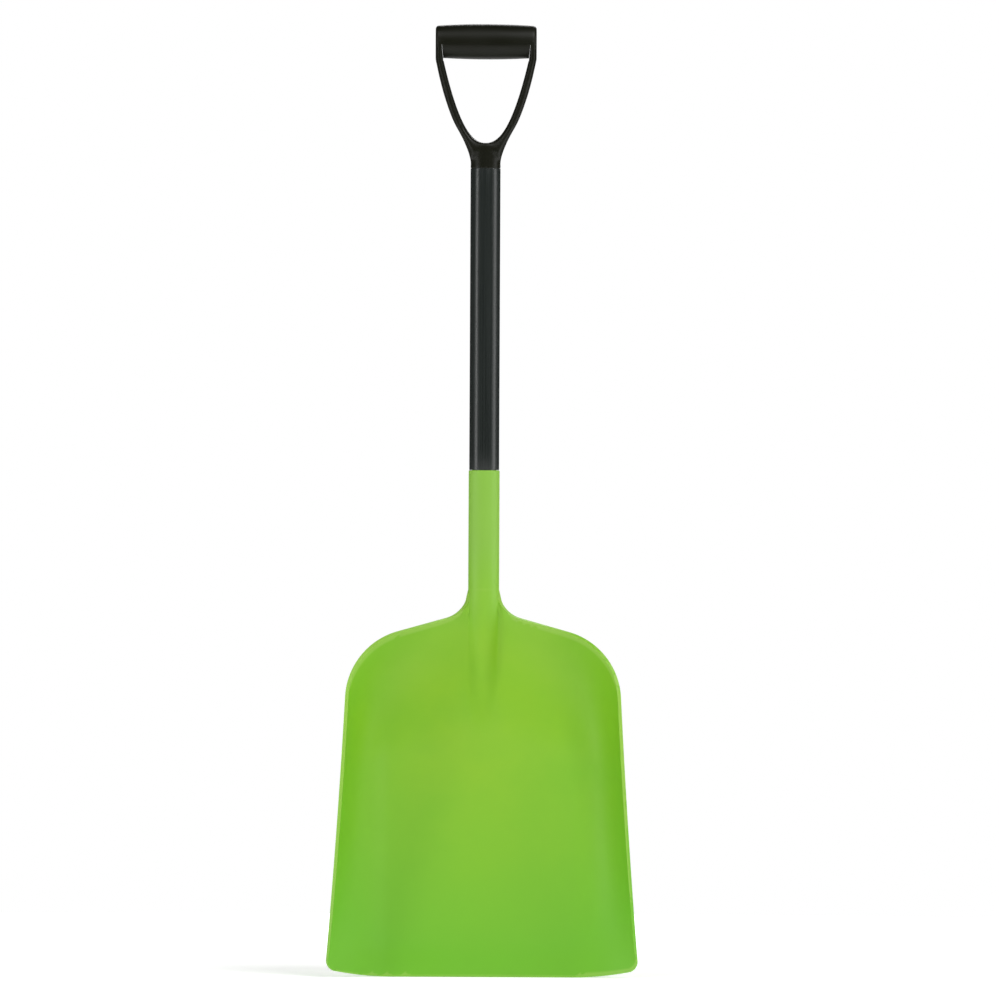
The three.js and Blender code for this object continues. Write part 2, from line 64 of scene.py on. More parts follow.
# Length of a curve, and the place at a share of it.
Stretch = tuple[float, Callable[[float], Vector]]


# ---------------------------------------------------------------------------------------------
# Small mathematics
# ---------------------------------------------------------------------------------------------


def lerp(low: float, high: float, share: float) -> float:
    """Value at a share of the way from low to high."""
    return low + (high - low) * share


def clamp(value: float, low: float = 0.0, high: float = 1.0) -> float:
    """Value kept between low and high."""
    return max(low, min(high, value))


def smoothstep(value: float, low: float, high: float) -> float:
    """Soft step from 0 at low to 1 at high."""
    share = clamp((value - low) / (high - low))
    return share * share * (3 - 2 * share)


def rise(value: float, start: float) -> float:
    """Parabolic climb, 0 up to start and 1 at 1."""
    return clamp((value - start) / (1 - start)) ** 2


def on_circle(radius: float, angle: float) -> Vector:
    """Point of a flat circle round the origin."""
    return radius * Vector((math.cos(angle), math.sin(angle)))


# ---------------------------------------------------------------------------------------------
# Materials
# ---------------------------------------------------------------------------------------------

FULL_RANGE = (0.0, 1.0)
NOISE_RANGE = (0.3, 0.7)  # holds most of the values of a noise texture
FINE_DETAIL = 2.0
PLASTIC_IOR = 1.49
SRGB_KNEE, SRGB_SLOPE, SRGB_OFFSET, SRGB_POWER = 0.04045, 12.92, 0.055, 2.4
HEX_CHANNEL_TOP = 255


def decoded(channel: float) -> float:
    """Linear value of an sRGB channel."""
    if channel <= SRGB_KNEE:
        return channel / SRGB_SLOPE
    return ((channel + SRGB_OFFSET) / (1 + SRGB_OFFSET)) ** SRGB_POWER


def linear(colour: str) -> tuple[float, float, float, float]:
    """Turn an sRGB hex colour into linear RGBA.

    Args:
        colour: six hex digits, with or without a leading #.

    Returns:
        Red, green, blue and an alpha of 1.
    """
    digits = colour.lstrip("#")
    channels = bytes.fromhex(digits)
    red, green, blue = (decoded(channel / HEX_CHANNEL_TOP) for channel in channels)
    return red, green, blue, 1.0


def add_node(
    tree: bpy.types.NodeTree, kind: str, inputs: dict[str | int, Any] | None = None, **settings: Any
) -> bpy.types.Node:
    """Add one shader node with its settings and links.

    Args:
        tree: the node tree that gets the node.
        kind: the node's type, such as ShaderNodeBump.
        inputs: socket name or number to a value, or to the output socket that feeds it.
        settings: the node's own properties.

    Returns:
        The new node.
    """
    node = tree.nodes.new(kind)
    for name, value in settings.items():
        setattr(node, name, value)
    for key, value in (inputs or {}).items():
        if isinstance(value, bpy.types.NodeSocket):
            tree.links.new(value, node.inputs[key])
        else:
            node.inputs[key].default_value = value
    return node


def pattern_scale(size_mm: float) -> float:
    """Texture scale, in repeats a metre, of a pattern whose features are size_mm apart."""
    return 1 / (size_mm * MM)


@dataclass(frozen=True)
class Finish:
    """What every finish shares: a named material and the coordinates its patterns run on."""

    name: str

    def start(self) -> tuple[bpy.types.Material, bpy.types.NodeTree, bpy.types.NodeSocket]:
        """Create the empty material.

        Returns:
            The material, its node tree and the object coordinates.
        """
        material = bpy.data.materials.new(self.name)
        material.use_nodes = True
        tree = material.node_tree
        tree.nodes.clear()
        place = add_node(tree, "ShaderNodeTexCoord").outputs["Object"]
        return material, tree, place

    @staticmethod
    def stretched(
        tree: bpy.types.NodeTree, place: bpy.types.NodeSocket, scale: Sequence[float]
    ) -> bpy.types.NodeSocket:
        """Coordinates drawn out along the axes by the inverse of scale."""
        mapping = add_node(tree, "ShaderNodeMapping", {"Vector": place, "Scale": tuple(scale)})
        return mapping.outputs["Vector"]

    @staticmethod
    def noise(
        tree: bpy.types.NodeTree, place: bpy.types.NodeSocket, size_mm: float, detail: float = 3.0
    ) -> bpy.types.NodeSocket:
        """Cloudy noise whose features are about size_mm wide."""
        settings = {"Vector": place, "Scale": pattern_scale(size_mm), "Detail": detail}
        return add_node(tree, "ShaderNodeTexNoise", settings).outputs["Fac"]

    @staticmethod
    def ranged(
        tree: bpy.types.NodeTree,
        value: bpy.types.NodeSocket,
        source: Sequence[float],
        target: Sequence[float] = FULL_RANGE,
    ) -> bpy.types.NodeSocket:
        """Value moved from one range to another and kept inside it."""
        ends = dict(zip(("From Min", "From Max", "To Min", "To Max"), (*source, *target)))
        return add_node(tree, "ShaderNodeMapRange", {"Value": value, **ends}).outputs["Result"]

    @staticmethod
    def mixed(
        tree: bpy.types.NodeTree, share: bpy.types.NodeSocket | float, first: Any, second: Any
    ) -> bpy.types.NodeSocket:
        """Colour between first and second."""
        node = add_node(tree, "ShaderNodeMix", {0: share, 6: first, 7: second}, data_type="RGBA")
        return node.outputs[2]

    @staticmethod
    def bumped(
        tree: bpy.types.NodeTree,
        height: bpy.types.NodeSocket,
        depth_mm: float,
        below: bpy.types.NodeSocket | None = None,
    ) -> bpy.types.NodeSocket:
        """Tilt the normal by a height pattern.

        Args:
            tree: the material's nodes.
            height: the pattern.
            depth_mm: how deep it is.
            below: a normal that is already tilted.

        Returns:
            The tilted normal.
        """
        depth = depth_mm * MM
        inputs: dict[str | int, Any] = {"Height": height, "Distance": depth, "Strength": 1.0}
        if below is not None:
            inputs["Normal"] = below
        return add_node(tree, "ShaderNodeBump", inputs).outputs["Normal"]

    @staticmethod
    def worn_edges(tree: bpy.types.NodeTree, softness: tuple[float, float]) -> bpy.types.NodeSocket:
        """1 along convex edges, 0 on open faces."""
        pointiness = add_node(tree, "ShaderNodeNewGeometry").outputs["Pointiness"]
        return Finish.ranged(tree, pointiness, softness)

    @staticmethod
    def surface(tree: bpy.types.NodeTree, inputs: dict[str | int, Any]) -> None:
        """Finish the tree with a Principled shader."""
        shader = add_node(tree, "ShaderNodeBsdfPrincipled", inputs)
        add_node(tree, "ShaderNodeOutputMaterial", {"Surface": shader.outputs["BSDF"]})


@dataclass(frozen=True)
class MouldedPolypropylene(Finish):
    """Injection-moulded polypropylene, mass coloured, from a lightly textured tool.

    It gives the eye a soft satin face with slight cloudiness, a fine grain, paler edges where the
    plastic is rubbed, and a few long hair scratches where it is pushed. Painted shade darkens and
    deepens the green away from the pan's middle, and the socket is painted a greyer green as
    painted light.
    """

    colour: str = "#86BB18"
    cloud_colour: str = "#7EB718"
    # Darker, more saturated green painted on as shade towards the walls, lip and shoulders.
    painted_shade_colour: str = "#6BB41C"
    # Greyer, less saturated green painted on the socket as the direct light it catches.
    socket_light_colour: str = "#7FB23A"
    edge_colour: str = "#A3C85C"
    # Centre of the painted shade, and the distances over which it darkens the green.
    shade_centre_mm: tuple[float, float, float] = (0.0, 0.0, 320.0)
    shade_falloff_mm: tuple[float, float] = (70.0, 300.0)
    socket_light_mm: tuple[float, float] = (395.0, 500.0)
    roughness: tuple[float, float] = (0.5, 0.62)
    grain_mm: float = 0.9  # real grain is about 0.3 mm, drawn coarser so that it shows
    grain_depth_mm: float = 0.012
    cloud_mm: float = 90.0
    cloud_detail: float = 4.0
    cloud_range: tuple[float, float] = (0.35, 0.7)
    scratch_mm: float = 1.6
    scratch_stretch: float = 0.012
    scratch_detail: float = 1.0
    scratch_depth_mm: float = 0.02
    scratch_range: tuple[float, float] = (0.68, 0.76)
    edge_range: tuple[float, float] = (0.53, 0.6)
    edge_share: float = 0.4

    def build(self) -> bpy.types.Material:
        """Create the material.

        Returns:
            The material.
        """
        material, tree, place = self.start()
        clouds = self.noise(tree, place, self.cloud_mm, self.cloud_detail)
        cloud_share = self.ranged(tree, clouds, self.cloud_range)
        unshaded_colour = self.mixed(tree, cloud_share, linear(self.colour), linear(self.cloud_colour))
        # Painted shade: the green darkens and deepens with distance from a point in the pan's
        # middle.
        shade_centre = [value * MM for value in self.shade_centre_mm]
        gap = add_node(tree, "ShaderNodeVectorMath", {0: place, 1: shade_centre}, operation="DISTANCE")
        painted_shade_share = self.ranged(tree, gap.outputs["Value"], [mm * MM for mm in self.shade_falloff_mm])
        pan = self.mixed(tree, painted_shade_share, unshaded_colour, linear(self.painted_shade_colour))
        # Painted light: from this height up, the socket takes a greyer green for the light it
        # catches.
        height = add_node(tree, "ShaderNodeSeparateXYZ", {"Vector": place}).outputs["Z"]
        socket_light_share = self.ranged(tree, height, [mm * MM for mm in self.socket_light_mm])
        body = self.mixed(tree, socket_light_share, pan, linear(self.socket_light_colour))
        edges = self.worn_edges(tree, self.edge_range)
        edge_share = self.ranged(tree, edges, FULL_RANGE, (0.0, self.edge_share))
        colour = self.mixed(tree, edge_share, body, linear(self.edge_colour))

        grain = self.noise(tree, place, self.grain_mm, FINE_DETAIL)
        lengthwise = self.stretched(tree, place, (1.0, self.scratch_stretch, self.scratch_stretch))
        scratches = self.noise(tree, lengthwise, self.scratch_mm, self.scratch_detail)
        scratch_lines = self.ranged(tree, scratches, self.scratch_range)
        normal = self.bumped(tree, grain, self.grain_depth_mm)
        normal = self.bumped(tree, scratch_lines, -self.scratch_depth_mm, normal)
        rough = self.ranged(tree, clouds, NOISE_RANGE, self.roughness)
        look = {"Base Color": colour, "Roughness": rough, "Normal": normal, "IOR": PLASTIC_IOR}
        self.surface(tree, look)
        return material


@dataclass(frozen=True)
class GrainedPolypropylene(Finish):
    """Black polypropylene moulded in a spark-eroded tool, as hand grips are.

    It gives the eye a deep warm black with a fine leathery grain that breaks up its highlights,
    and a faint grey polish along the edges that hands rub.
    """

    colour: str = "#111209"
    rubbed_colour: str = "#24251F"
    roughness: tuple[float, float] = (0.36, 0.46)
    specular_level: float = 0.18
    grain_mm: float = 1.1  # about twice the real grain, so that it shows
    grain_depth_mm: float = 0.03
    blotch_mm: float = 35.0
    edge_range: tuple[float, float] = (0.52, 0.6)
    edge_share: float = 0.7

    def build(self) -> bpy.types.Material:
        """Create the material.

        Returns:
            The material.
        """
        material, tree, place = self.start()
        blotches = self.noise(tree, place, self.blotch_mm)
        edges = self.worn_edges(tree, self.edge_range)
        rubbed = self.ranged(tree, edges, FULL_RANGE, (0.0, self.edge_share))
        colour = self.mixed(tree, rubbed, linear(self.colour), linear(self.rubbed_colour))
        grain = self.noise(tree, place, self.grain_mm, FINE_DETAIL)
        normal = self.bumped(tree, grain, self.grain_depth_mm)
        rough = self.ranged(tree, blotches, NOISE_RANGE, self.roughness)
        inputs = {"Base Color": colour, "Roughness": rough, "Normal": normal, "IOR": PLASTIC_IOR}
        self.surface(tree, {**inputs, "Specular IOR Level": self.specular_level})
        return material


@dataclass(frozen=True)
class ExtrudedSleeve(Finish):
    """Black polypropylene tube as it leaves the extrusion die.

    It gives the eye a smooth satin black with fine lines along the tube and soft, slightly uneven
    highlights down both sides.
    """

    colour: str = "#171C1A"
    line_colour: str = "#1E2321"
    roughness: tuple[float, float] = (0.27, 0.35)
    line_mm: float = 1.4
    line_stretch: float = 0.006
    line_depth_mm: float = 0.012
    line_range: tuple[float, float] = (0.4, 0.7)
    grain_mm: float = 0.8
    grain_depth_mm: float = 0.006

    def build(self) -> bpy.types.Material:
        """Create the material.

        Returns:
            The material.
        """
        material, tree, place = self.start()
        along = self.stretched(tree, place, (1.0, 1.0, self.line_stretch))
        lines = self.noise(tree, along, self.line_mm)
        share = self.ranged(tree, lines, self.line_range)
        colour = self.mixed(tree, share, linear(self.colour), linear(self.line_colour))
        grain = self.noise(tree, place, self.grain_mm, FINE_DETAIL)
        normal = self.bumped(tree, lines, self.line_depth_mm)
        normal = self.bumped(tree, grain, self.grain_depth_mm, normal)
        rough = self.ranged(tree, lines, NOISE_RANGE, self.roughness)
        look = {"Base Color": colour, "Roughness": rough, "Normal": normal, "IOR": PLASTIC_IOR}
        self.surface(tree, look)
        return material


@dataclass(frozen=True)
class ZincedSteel(Finish):
    """Steel with a zinc coat, spangled on a tube or bright on a screw.

    It gives the eye a cool grey metal with cloudy patches that differ in gloss.
    """

    colour: str = "#A6A9AA"
    patch_colour: str = "#8E9294"
    patch_mm: float = 6.0
    patch_range: tuple[float, float] = (0.4, 0.6)
    roughness: tuple[float, float] = (0.28, 0.45)
    tool_mark_depth_mm: float = 0.01

    def build(self) -> bpy.types.Material:
        """Create the material.

        Returns:
            The material.
        """
        material, tree, place = self.start()
        patches = self.noise(tree, place, self.patch_mm)
        share = self.ranged(tree, patches, self.patch_range)
        colour = self.mixed(tree, share, linear(self.colour), linear(self.patch_colour))
        rough = self.ranged(tree, patches, NOISE_RANGE, self.roughness)
        normal = self.bumped(tree, patches, self.tool_mark_depth_mm)
        look = {"Base Color": colour, "Metallic": 1.0, "Roughness": rough, "Normal": normal}
        self.surface(tree, look)
        return material


@dataclass(frozen=True)
class StudioPaper(Finish):
    """White seamless paper that keeps a soft contact shadow and fades to plain white."""

    colour: str = "#F4F4F4"
    glow_colour: str = "#FFFFFF"
    fibre_mm: float = 2.5
    roughness: tuple[float, float] = (0.85, 0.95)
    glow: tuple[float, float] = (0.36, 1.05)
    fade_mm: tuple[float, float] = (500.0, 1600.0)

    def build(self) -> bpy.types.Material:
        """Create the material.

        Returns:
            The material.
        """
        material, tree, place = self.start()
        fibres = self.noise(tree, place, self.fibre_mm)
        rough = self.ranged(tree, fibres, NOISE_RANGE, self.roughness)
        distance = add_node(tree, "ShaderNodeVectorMath", {0: place}, operation="LENGTH")
        fade = [mm * MM for mm in self.fade_mm]
        glow = self.ranged(tree, distance.outputs["Value"], fade, self.glow)
        colours = {"Base Color": linear(self.colour), "Emission Color": linear(self.glow_colour)}
        self.surface(tree, {**colours, "Roughness": rough, "Emission Strength": glow})
        return material


# ---------------------------------------------------------------------------------------------
# Mesh helpers
# ---------------------------------------------------------------------------------------------


class Shading(Enum):
    """How a piece's faces are shaded: the largest angle that still looks round."""

    MOULDED = math.radians(42)
    MACHINED = math.radians(30)


@dataclass(frozen=True)
class Piece:
    """What a finished mesh becomes in the scene."""

    name: str
    stands_for: str
    slot: str
    material: bpy.types.Material
    shading: Shading = Shading.MOULDED


def finish_piece(bm: BMesh, piece: Piece, shaft_y: float) -> bpy.types.Object:
    """Turn a mesh in millimetres round the shaft's axis into a piece of the frame.

    Args:
        bm: the mesh; it is freed.
        piece: its name, node, slot, material and shading.
        shaft_y: where the shaft's axis stands in the frame, in metres.

    Returns:
        The object, at the origin, riding on the body.
    """
    to_frame = Matrix.Translation((0, shaft_y, 0)) @ Matrix.Scale(MM, 4)
    bmesh.ops.transform(bm, matrix=to_frame, verts=bm.verts)
    bmesh.ops.recalc_face_normals(bm, faces=bm.faces)
    for face in bm.faces:
        face.smooth = True
    mesh = bpy.data.meshes.new(piece.name)
    bm.to_mesh(mesh)
    bm.free()
    mesh.set_sharp_from_angle(angle=piece.shading.value)
    mesh.materials.append(piece.material)
    shape = bpy.data.objects.new(piece.name, mesh)
    bpy.context.scene.collection.objects.link(shape)
    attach(shape, BODY)
    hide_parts(piece.stands_for)
    LOG.info("%s: %d faces, stands for %s", piece.name, len(mesh.polygons), piece.stands_for)
    return shape


def open_loop(bm: BMesh) -> list[BMEdge]:
    """Edges with one face."""
    return [edge for edge in bm.edges if len(edge.link_faces) == 1]


def extruded_ring(
    bm: BMesh, edges: Iterable[BMEdge], place: Placer
) -> tuple[list[BMEdge], list[BMVert]]:
    """Extrude an edge ring and put its new vertices in place.

    Args:
        bm: the mesh.
        edges: the open ring.
        place: from a vertex's old place to its new one.

    Returns:
        The new ring's edges and vertices.
    """
    made = bmesh.ops.extrude_edge_only(bm, edges=list(edges))["geom"]
    verts = [item for item in made if isinstance(item, BMVert)]
    new = set(verts)
    for vert in verts:
        vert.co = place(vert.co)
    ring = [item for item in made if isinstance(item, BMEdge) and set(item.verts) <= new]
    return ring, verts


def rounded(bm: BMesh, edges: Sequence[BMEdge], radius: float, segments: int) -> None:
    """Round edges with a bevel."""
    bmesh.ops.bevel(
        bm,
        geom=edges,
        offset=radius,
        segments=segments,
        profile=0.5,
        affect="EDGES",
        clamp_overlap=True,
        material=-1,
    )


def round_ring(radius: float, height: float) -> Placer:
    """Make a placer that moves a vertex straight out to a circle about the shaft's axis.

    Args:
        radius: of the circle.
        height: of the circle.

    Returns:
        From a vertex's old place to its new one.
    """

    def place(at: Vector) -> Vector:
        """Put one vertex on the circle."""
        return Vector((*on_circle(radius, math.atan2(at.y, at.x)), height))

    return place


def turned(
    bm: BMesh, profile: Sequence[tuple[float, float]], segments: int, closed: bool = False
) -> None:
    """Spin a profile round the Z axis.

    Args:
        bm: the mesh that gets the shape.
        profile: (radius, height) points.
        segments: steps of a full turn.
        closed: whether the last point joins the first.
    """
    verts = [bm.verts.new((radius, 0.0, height)) for radius, height in profile]
    pairs = list(zip(verts, verts[1:])) + ([(verts[-1], verts[0])] if closed else [])
    edges = [bm.edges.new(pair) for pair in pairs]
    bmesh.ops.spin(
        bm,
        geom=verts + edges,
        angle=math.tau,
        steps=segments,
        axis=(0, 0, 1),
        cent=(0, 0, 0),
        use_merge=True,
    )
    bmesh.ops.remove_doubles(bm, verts=bm.verts, dist=TINY)


def smoothed(bm: BMesh, verts: Sequence[BMVert], rounds: int) -> None:
    """Relax vertices towards their neighbours a number of times."""
    for _ in range(rounds):
        bmesh.ops.smooth_vert(
            bm, verts=verts, factor=0.5, use_axis_x=True, use_axis_y=True, use_axis_z=True
        )


def lofted(bm: BMesh, place: Callable[[float, float], Vector], rings: int, segments: int) -> None:
    """Draw a closed section along a path, capped at both ends.

    Args:
        bm: the mesh that gets the shape.
        place: from a share of the path and a corner's angle to the corner's place.
        rings: steps along the path.
        segments: corners of a section.
    """
    circle = bmesh.ops.create_circle(bm, cap_ends=True, radius=1.0, segments=segments)["verts"]
    angles = {vert: math.atan2(vert.co.y, vert.co.x) for vert in circle}
    ring = list({edge for vert in circle for edge in vert.link_edges})
    for vert in circle:
        vert.co = place(0.0, angles[vert])
    for i in range(1, rings + 1):
        made = bmesh.ops.extrude_edge_only(bm, edges=ring)["geom"]
        new = {item for item in made if isinstance(item, BMVert)}
        for vert in new:
            beside = [edge.other_vert(vert) for edge in vert.link_edges]
            angles[vert] = next(angles[other] for other in beside if other not in new)
            vert.co = place(i / rings, angles[vert])
        ring = [item for item in made if isinstance(item, BMEdge) and set(item.verts) <= new]
    bmesh.ops.edgeloop_fill(bm, edges=ring)


def taken_back(shapes: Sequence[bpy.types.Object]) -> BMesh:
    """Take the first object's mesh with its modifiers applied, and remove all the objects.

    Args:
        shapes: the object to take, and its helpers.

    Returns:
        The new mesh.
    """
    graph = bpy.context.evaluated_depsgraph_get()
    mesh = bpy.data.meshes.new_from_object(shapes[0].evaluated_get(graph))
    result = bmesh.new()
    result.from_mesh(mesh)
    bpy.data.meshes.remove(mesh)
    for shape in shapes:
        data = shape.data
        bpy.data.objects.remove(shape)
        bpy.data.meshes.remove(data)
    return result


def temporary(bm: BMesh, name: str) -> bpy.types.Object:
    """Put a mesh in the scene for a modifier to use.

    Args:
        bm: the mesh; it is freed.
        name: the object's name.

    Returns:
        The object.
    """
    bmesh.ops.recalc_face_normals(bm, faces=bm.faces)
    mesh = bpy.data.meshes.new(name)
    bm.to_mesh(mesh)
    bm.free()
    shape = bpy.data.objects.new(name, mesh)
    bpy.context.scene.collection.objects.link(shape)
    return shape


def combined(bm: BMesh, tools: Sequence[tuple[str, BMesh]]) -> BMesh:
    """Join or cut a mesh with others, one after the other.

    Args:
        bm: the mesh to work on; it is freed.
        tools: pairs of UNION, DIFFERENCE or INTERSECT and the other mesh, which is freed.

    Returns:
        A new mesh.
    """
    shape = temporary(bm, "work")
    helpers = []
    for operation, tool in tools:
        helper = temporary(tool, "tool")
        helpers.append(helper)
        modifier = shape.modifiers.new(operation, "BOOLEAN")
        modifier.operation = operation
        modifier.solver = "EXACT"
        modifier.object = helper
    return taken_back([shape, *helpers])


def remeshed(bm: BMesh, voxel: float) -> BMesh:
    """Cover a mesh with an even skin of small quads; the mesh is freed.

    Args:
        bm: a closed mesh.
        voxel: size of a quad.

    Returns:
        The new mesh.
    """
    shape = temporary(bm, "work")
    modifier = shape.modifiers.new("skin", "REMESH")
    modifier.mode = "VOXEL"
    modifier.voxel_size = voxel
    return taken_back([shape])


def block(low: Sequence[float], high: Sequence[float]) -> BMesh:
    """Make a box.

    Args:
        low: its lowest corner.
        high: its highest corner.

    Returns:
        The mesh.
    """
    bm = bmesh.new()
    size = [b - a for a, b in zip(low, high)]
    centre = [(a + b) / 2 for a, b in zip(low, high)]
    matrix = Matrix.Translation(centre) @ Matrix.Diagonal((*size, 1.0))
    bmesh.ops.create_cube(bm, size=1.0, matrix=matrix)
    return bm


# ---------------------------------------------------------------------------------------------
# Screw pads
# ---------------------------------------------------------------------------------------------


@dataclass(frozen=True)
class ScrewPads:
    """Flat round pads for screw heads on the back of a round piece, with the screws' holes."""

    heights: tuple[float, ...]
    radius: float = 6.5
    height: float = 1.2
    edge: float = 0.5
    hole_radius: float = 2.4
    depth: float = 12.0
    root: float = 3.0
    clear: float = 2.0
    pad_segments: int = 64
    hole_segments: int = 48

    def tools(self, surface: float) -> list[tuple[str, BMesh]]:
        """Boolean steps that add the pads and drill the holes.

        Args:
            surface: radius of the piece the pads stand on.

        Returns:
            Pairs of operation and mesh.
        """
        steps = []
        for height in self.heights:
            seat = Matrix.Translation((0, surface + self.height, height))
            turn = seat @ Matrix.Rotation(-math.pi / 2, 4, "X")
            low, edge, wide = -self.height - self.edge - self.root, self.edge, self.radius
            pad, hole = bmesh.new(), bmesh.new()
            pad_profile = [(0, low), (wide, low), (wide, -edge), (wide - edge, 0), (0, 0)]
            turned(pad, pad_profile, self.pad_segments)
            deep, bore, top = -self.depth, self.hole_radius, self.clear
            turned(hole, [(0, deep), (bore, deep), (bore, top), (0, top)], self.hole_segments)
            for bm in (pad, hole):
                bmesh.ops.transform(bm, matrix=turn, verts=bm.verts)
            steps += [("UNION", pad), ("DIFFERENCE", hole)]
        return steps


# ---------------------------------------------------------------------------------------------
# Blade
# ---------------------------------------------------------------------------------------------


@dataclass
class ScoopBlade:
    """The moulded pan with its neck and socket, one thin-walled piece."""

    material: bpy.types.Material
    shaft_y: float

    lip_half_width: float = 180.0
    shoulder_half_width: float = 159.0
    shoulder_radius: float = 82.0
    shoulder_slope: float = math.radians(15.6)
    back_height: float = 425.0
    neck_fillet: float = 34.0
    side_hollow: float = 1.3
    lip_corner_radius: float = 13.0

    lift_angle: float = math.radians(16)
    lip_reach: float = 88.0
    lip_wall_depth: float = 36.0
    shoulder_wall_depth: float = 78.0
    floor_fraction: float = 0.58
    back_curve_start: float = 0.64
    pan_wall: float = 4.0
    lip_wall: float = 2.6
    lip_taper: float = 0.09

    front_ridge_foot: float = 285.0
    rear_ridge_foot: float = 320.0
    ridge_half_width: float = 34.0
    ridge_foot_half_width: float = 7.0
    ridge_climb: float = 0.6

    socket_radius: float = 18.0
    socket_length: float = 138.0
    socket_bore_depth: float = 129.0
    socket_edge: float = 1.2
    socket_edge_steps: int = 4
    bore_radius: float = 14.3
    bore_chamfer: float = 0.5

    pad_radius: float = 6.5
    pad_height: float = 1.2
    pad_drops: tuple[float, ...] = (38.0, 98.0)
    pad_blend: tuple[float, float] = (-0.6, 0.9)
    pad_rings: int = 24
    pad_margin: float = 2.0
    plain_rings: tuple[float, float] = (14.0, 2.7)  # below the socket's rim, above the pads
    first_ring: float = 4.0

    neck_columns: int = 16
    side_columns: int = 56
    rows: int = 110
    rim_round: float = 1.1
    rim_steps: int = 4
    soft_from: float = 270.0
    settling: int = 60
    settling_step: float = 1.0
    corner_steps: int = 14
    halvings: int = 40
    probe: float = 1e-3
    neck_width_share: float = 0.12
    fillet_start: float = math.radians(205)
    edge_curves: list[Stretch] = field(default_factory=list)

    def __post_init__(self) -> None:
        """Work out what follows from the driving sizes."""
        slope = self.shoulder_slope
        run = self.socket_radius + self.neck_fillet
        self.neck_height = (
            self.back_height - run * math.tan(slope) + self.neck_fillet / math.cos(slope)
        )
        self.neck_wall_depth = (
            self.neck_height * math.tan(self.lift_angle) - self.lip_reach - self.pan_wall / 2
        )
        self.socket_top = self.neck_height + self.socket_length
        self.neck_share = self.neck_columns / (self.neck_columns + self.side_columns)
        self.neck_half_turn = math.acos(self.pan_wall / 2 / self.socket_radius)
        self.edge_curves = self.back_edge()

    def back_edge(self) -> list[Stretch]:
        """Right half of the back edge: chord, neck fillet, straight slope and shoulder arc.

        Returns:
            For each stretch its length and the place at a share of it, as (x, z).
        """
        slope = self.shoulder_slope
        fillet = Vector((self.socket_radius + self.neck_fillet, self.neck_height))
        taper = self.lip_half_width - self.shoulder_half_width
        lean = math.atan2(taper, self.back_height - self.shoulder_radius)
        shoulder_x = self.shoulder_half_width - self.shoulder_radius * math.cos(lean)
        shoulder_z = (
            self.back_height - shoulder_x * math.tan(slope) - self.shoulder_radius / math.cos(slope)
        )
        shoulder = Vector((shoulder_x, shoulder_z))

        def arc(centre: Vector, radius: float, start: float, end: float) -> Stretch:
            """One arc between two angles."""
            length = abs(end - start) * radius
            return length, lambda share: centre + on_circle(radius, lerp(start, end, share))

        def line(start: Vector, end: Vector) -> Stretch:
            """One straight stretch."""
            return (end - start).length, lambda share: start.lerp(end, share)

        neck = arc(fillet, self.neck_fillet, self.fillet_start, 1.5 * math.pi - slope)
        corner = arc(shoulder, self.shoulder_radius, math.pi / 2 - slope, lean)
        chord = line(Vector((self.socket_radius, self.neck_height)), neck[1](0))
        return [chord, neck, line(neck[1](1), corner[1](0)), corner]

    def on_back_edge(self, share: float) -> Vector:
        """Find a place on the back edge.

        Args:
            share: share of its length, from the middle.

        Returns:
            The place, as (x, z).
        """
        left = share * sum(length for length, _ in self.edge_curves)
        for length, place in self.edge_curves:
            if left <= length:
                return place(left / length)
            left -= length
        return self.edge_curves[-1][1](1.0)

    def outer_face(self, across: float, up: float) -> Vector:
        """Point of the pan's outer face.

        Args:
            across: -1 to 1 from side to side.
            up: 0 at the lip to 1 at the back edge.

        Returns:
            The point, in millimetres.
        """
        q = abs(across)
        in_neck = q <= self.neck_share
        along = 0.0 if in_neck else (q - self.neck_share) / (1 - self.neck_share)
        if in_neck:
            lip_share = q / self.neck_share * self.neck_width_share
            turn = q / self.neck_share * self.neck_half_turn
            back = Vector((self.socket_radius * math.sin(turn), self.neck_height))
        else:
            lip_share = lerp(self.neck_width_share, 1.0, along)
            back = self.on_back_edge(along)
        side_rise = rise(lip_share, self.floor_fraction)
        back_rise = rise(up, self.back_curve_start)
        back_depth = lerp(self.neck_wall_depth, self.shoulder_wall_depth, smoothstep(along, 0, 1))
        either_rise = side_rise + back_rise - side_rise * back_rise
        depth = lerp(self.lip_wall_depth, back_depth, up) * either_rise
        lift_sine, lift_cosine = math.sin(self.lift_angle), math.cos(self.lift_angle)
        lip_height = self.lip_wall_depth * side_rise * lift_sine * lift_cosine
        hollow = self.side_hollow * 4 * up * (1 - up) * side_rise
        x = lerp(self.lip_half_width * lip_share, back.x, up) - hollow
        z = lerp(lip_height, back.y, up)
        y = z * math.tan(self.lift_angle) - self.lip_reach - depth
        return Vector((math.copysign(x, across), y, z))

    def inward_normal(self, across: float, up: float) -> Vector:
        """Find the direction square to the outer face, into the scoop.

        Args:
            across: -1 to 1 from side to side.
            up: 0 at the lip to 1 at the back edge.

        Returns:
            The direction, of length 1.
        """
        step, face = self.probe, self.outer_face
        sideways = face(min(across + step, 1), up) - face(max(across - step, -1), up)
        upwards = face(across, min(up + step, 1)) - face(across, max(up - step, 0))
        return sideways.cross(upwards).normalized()

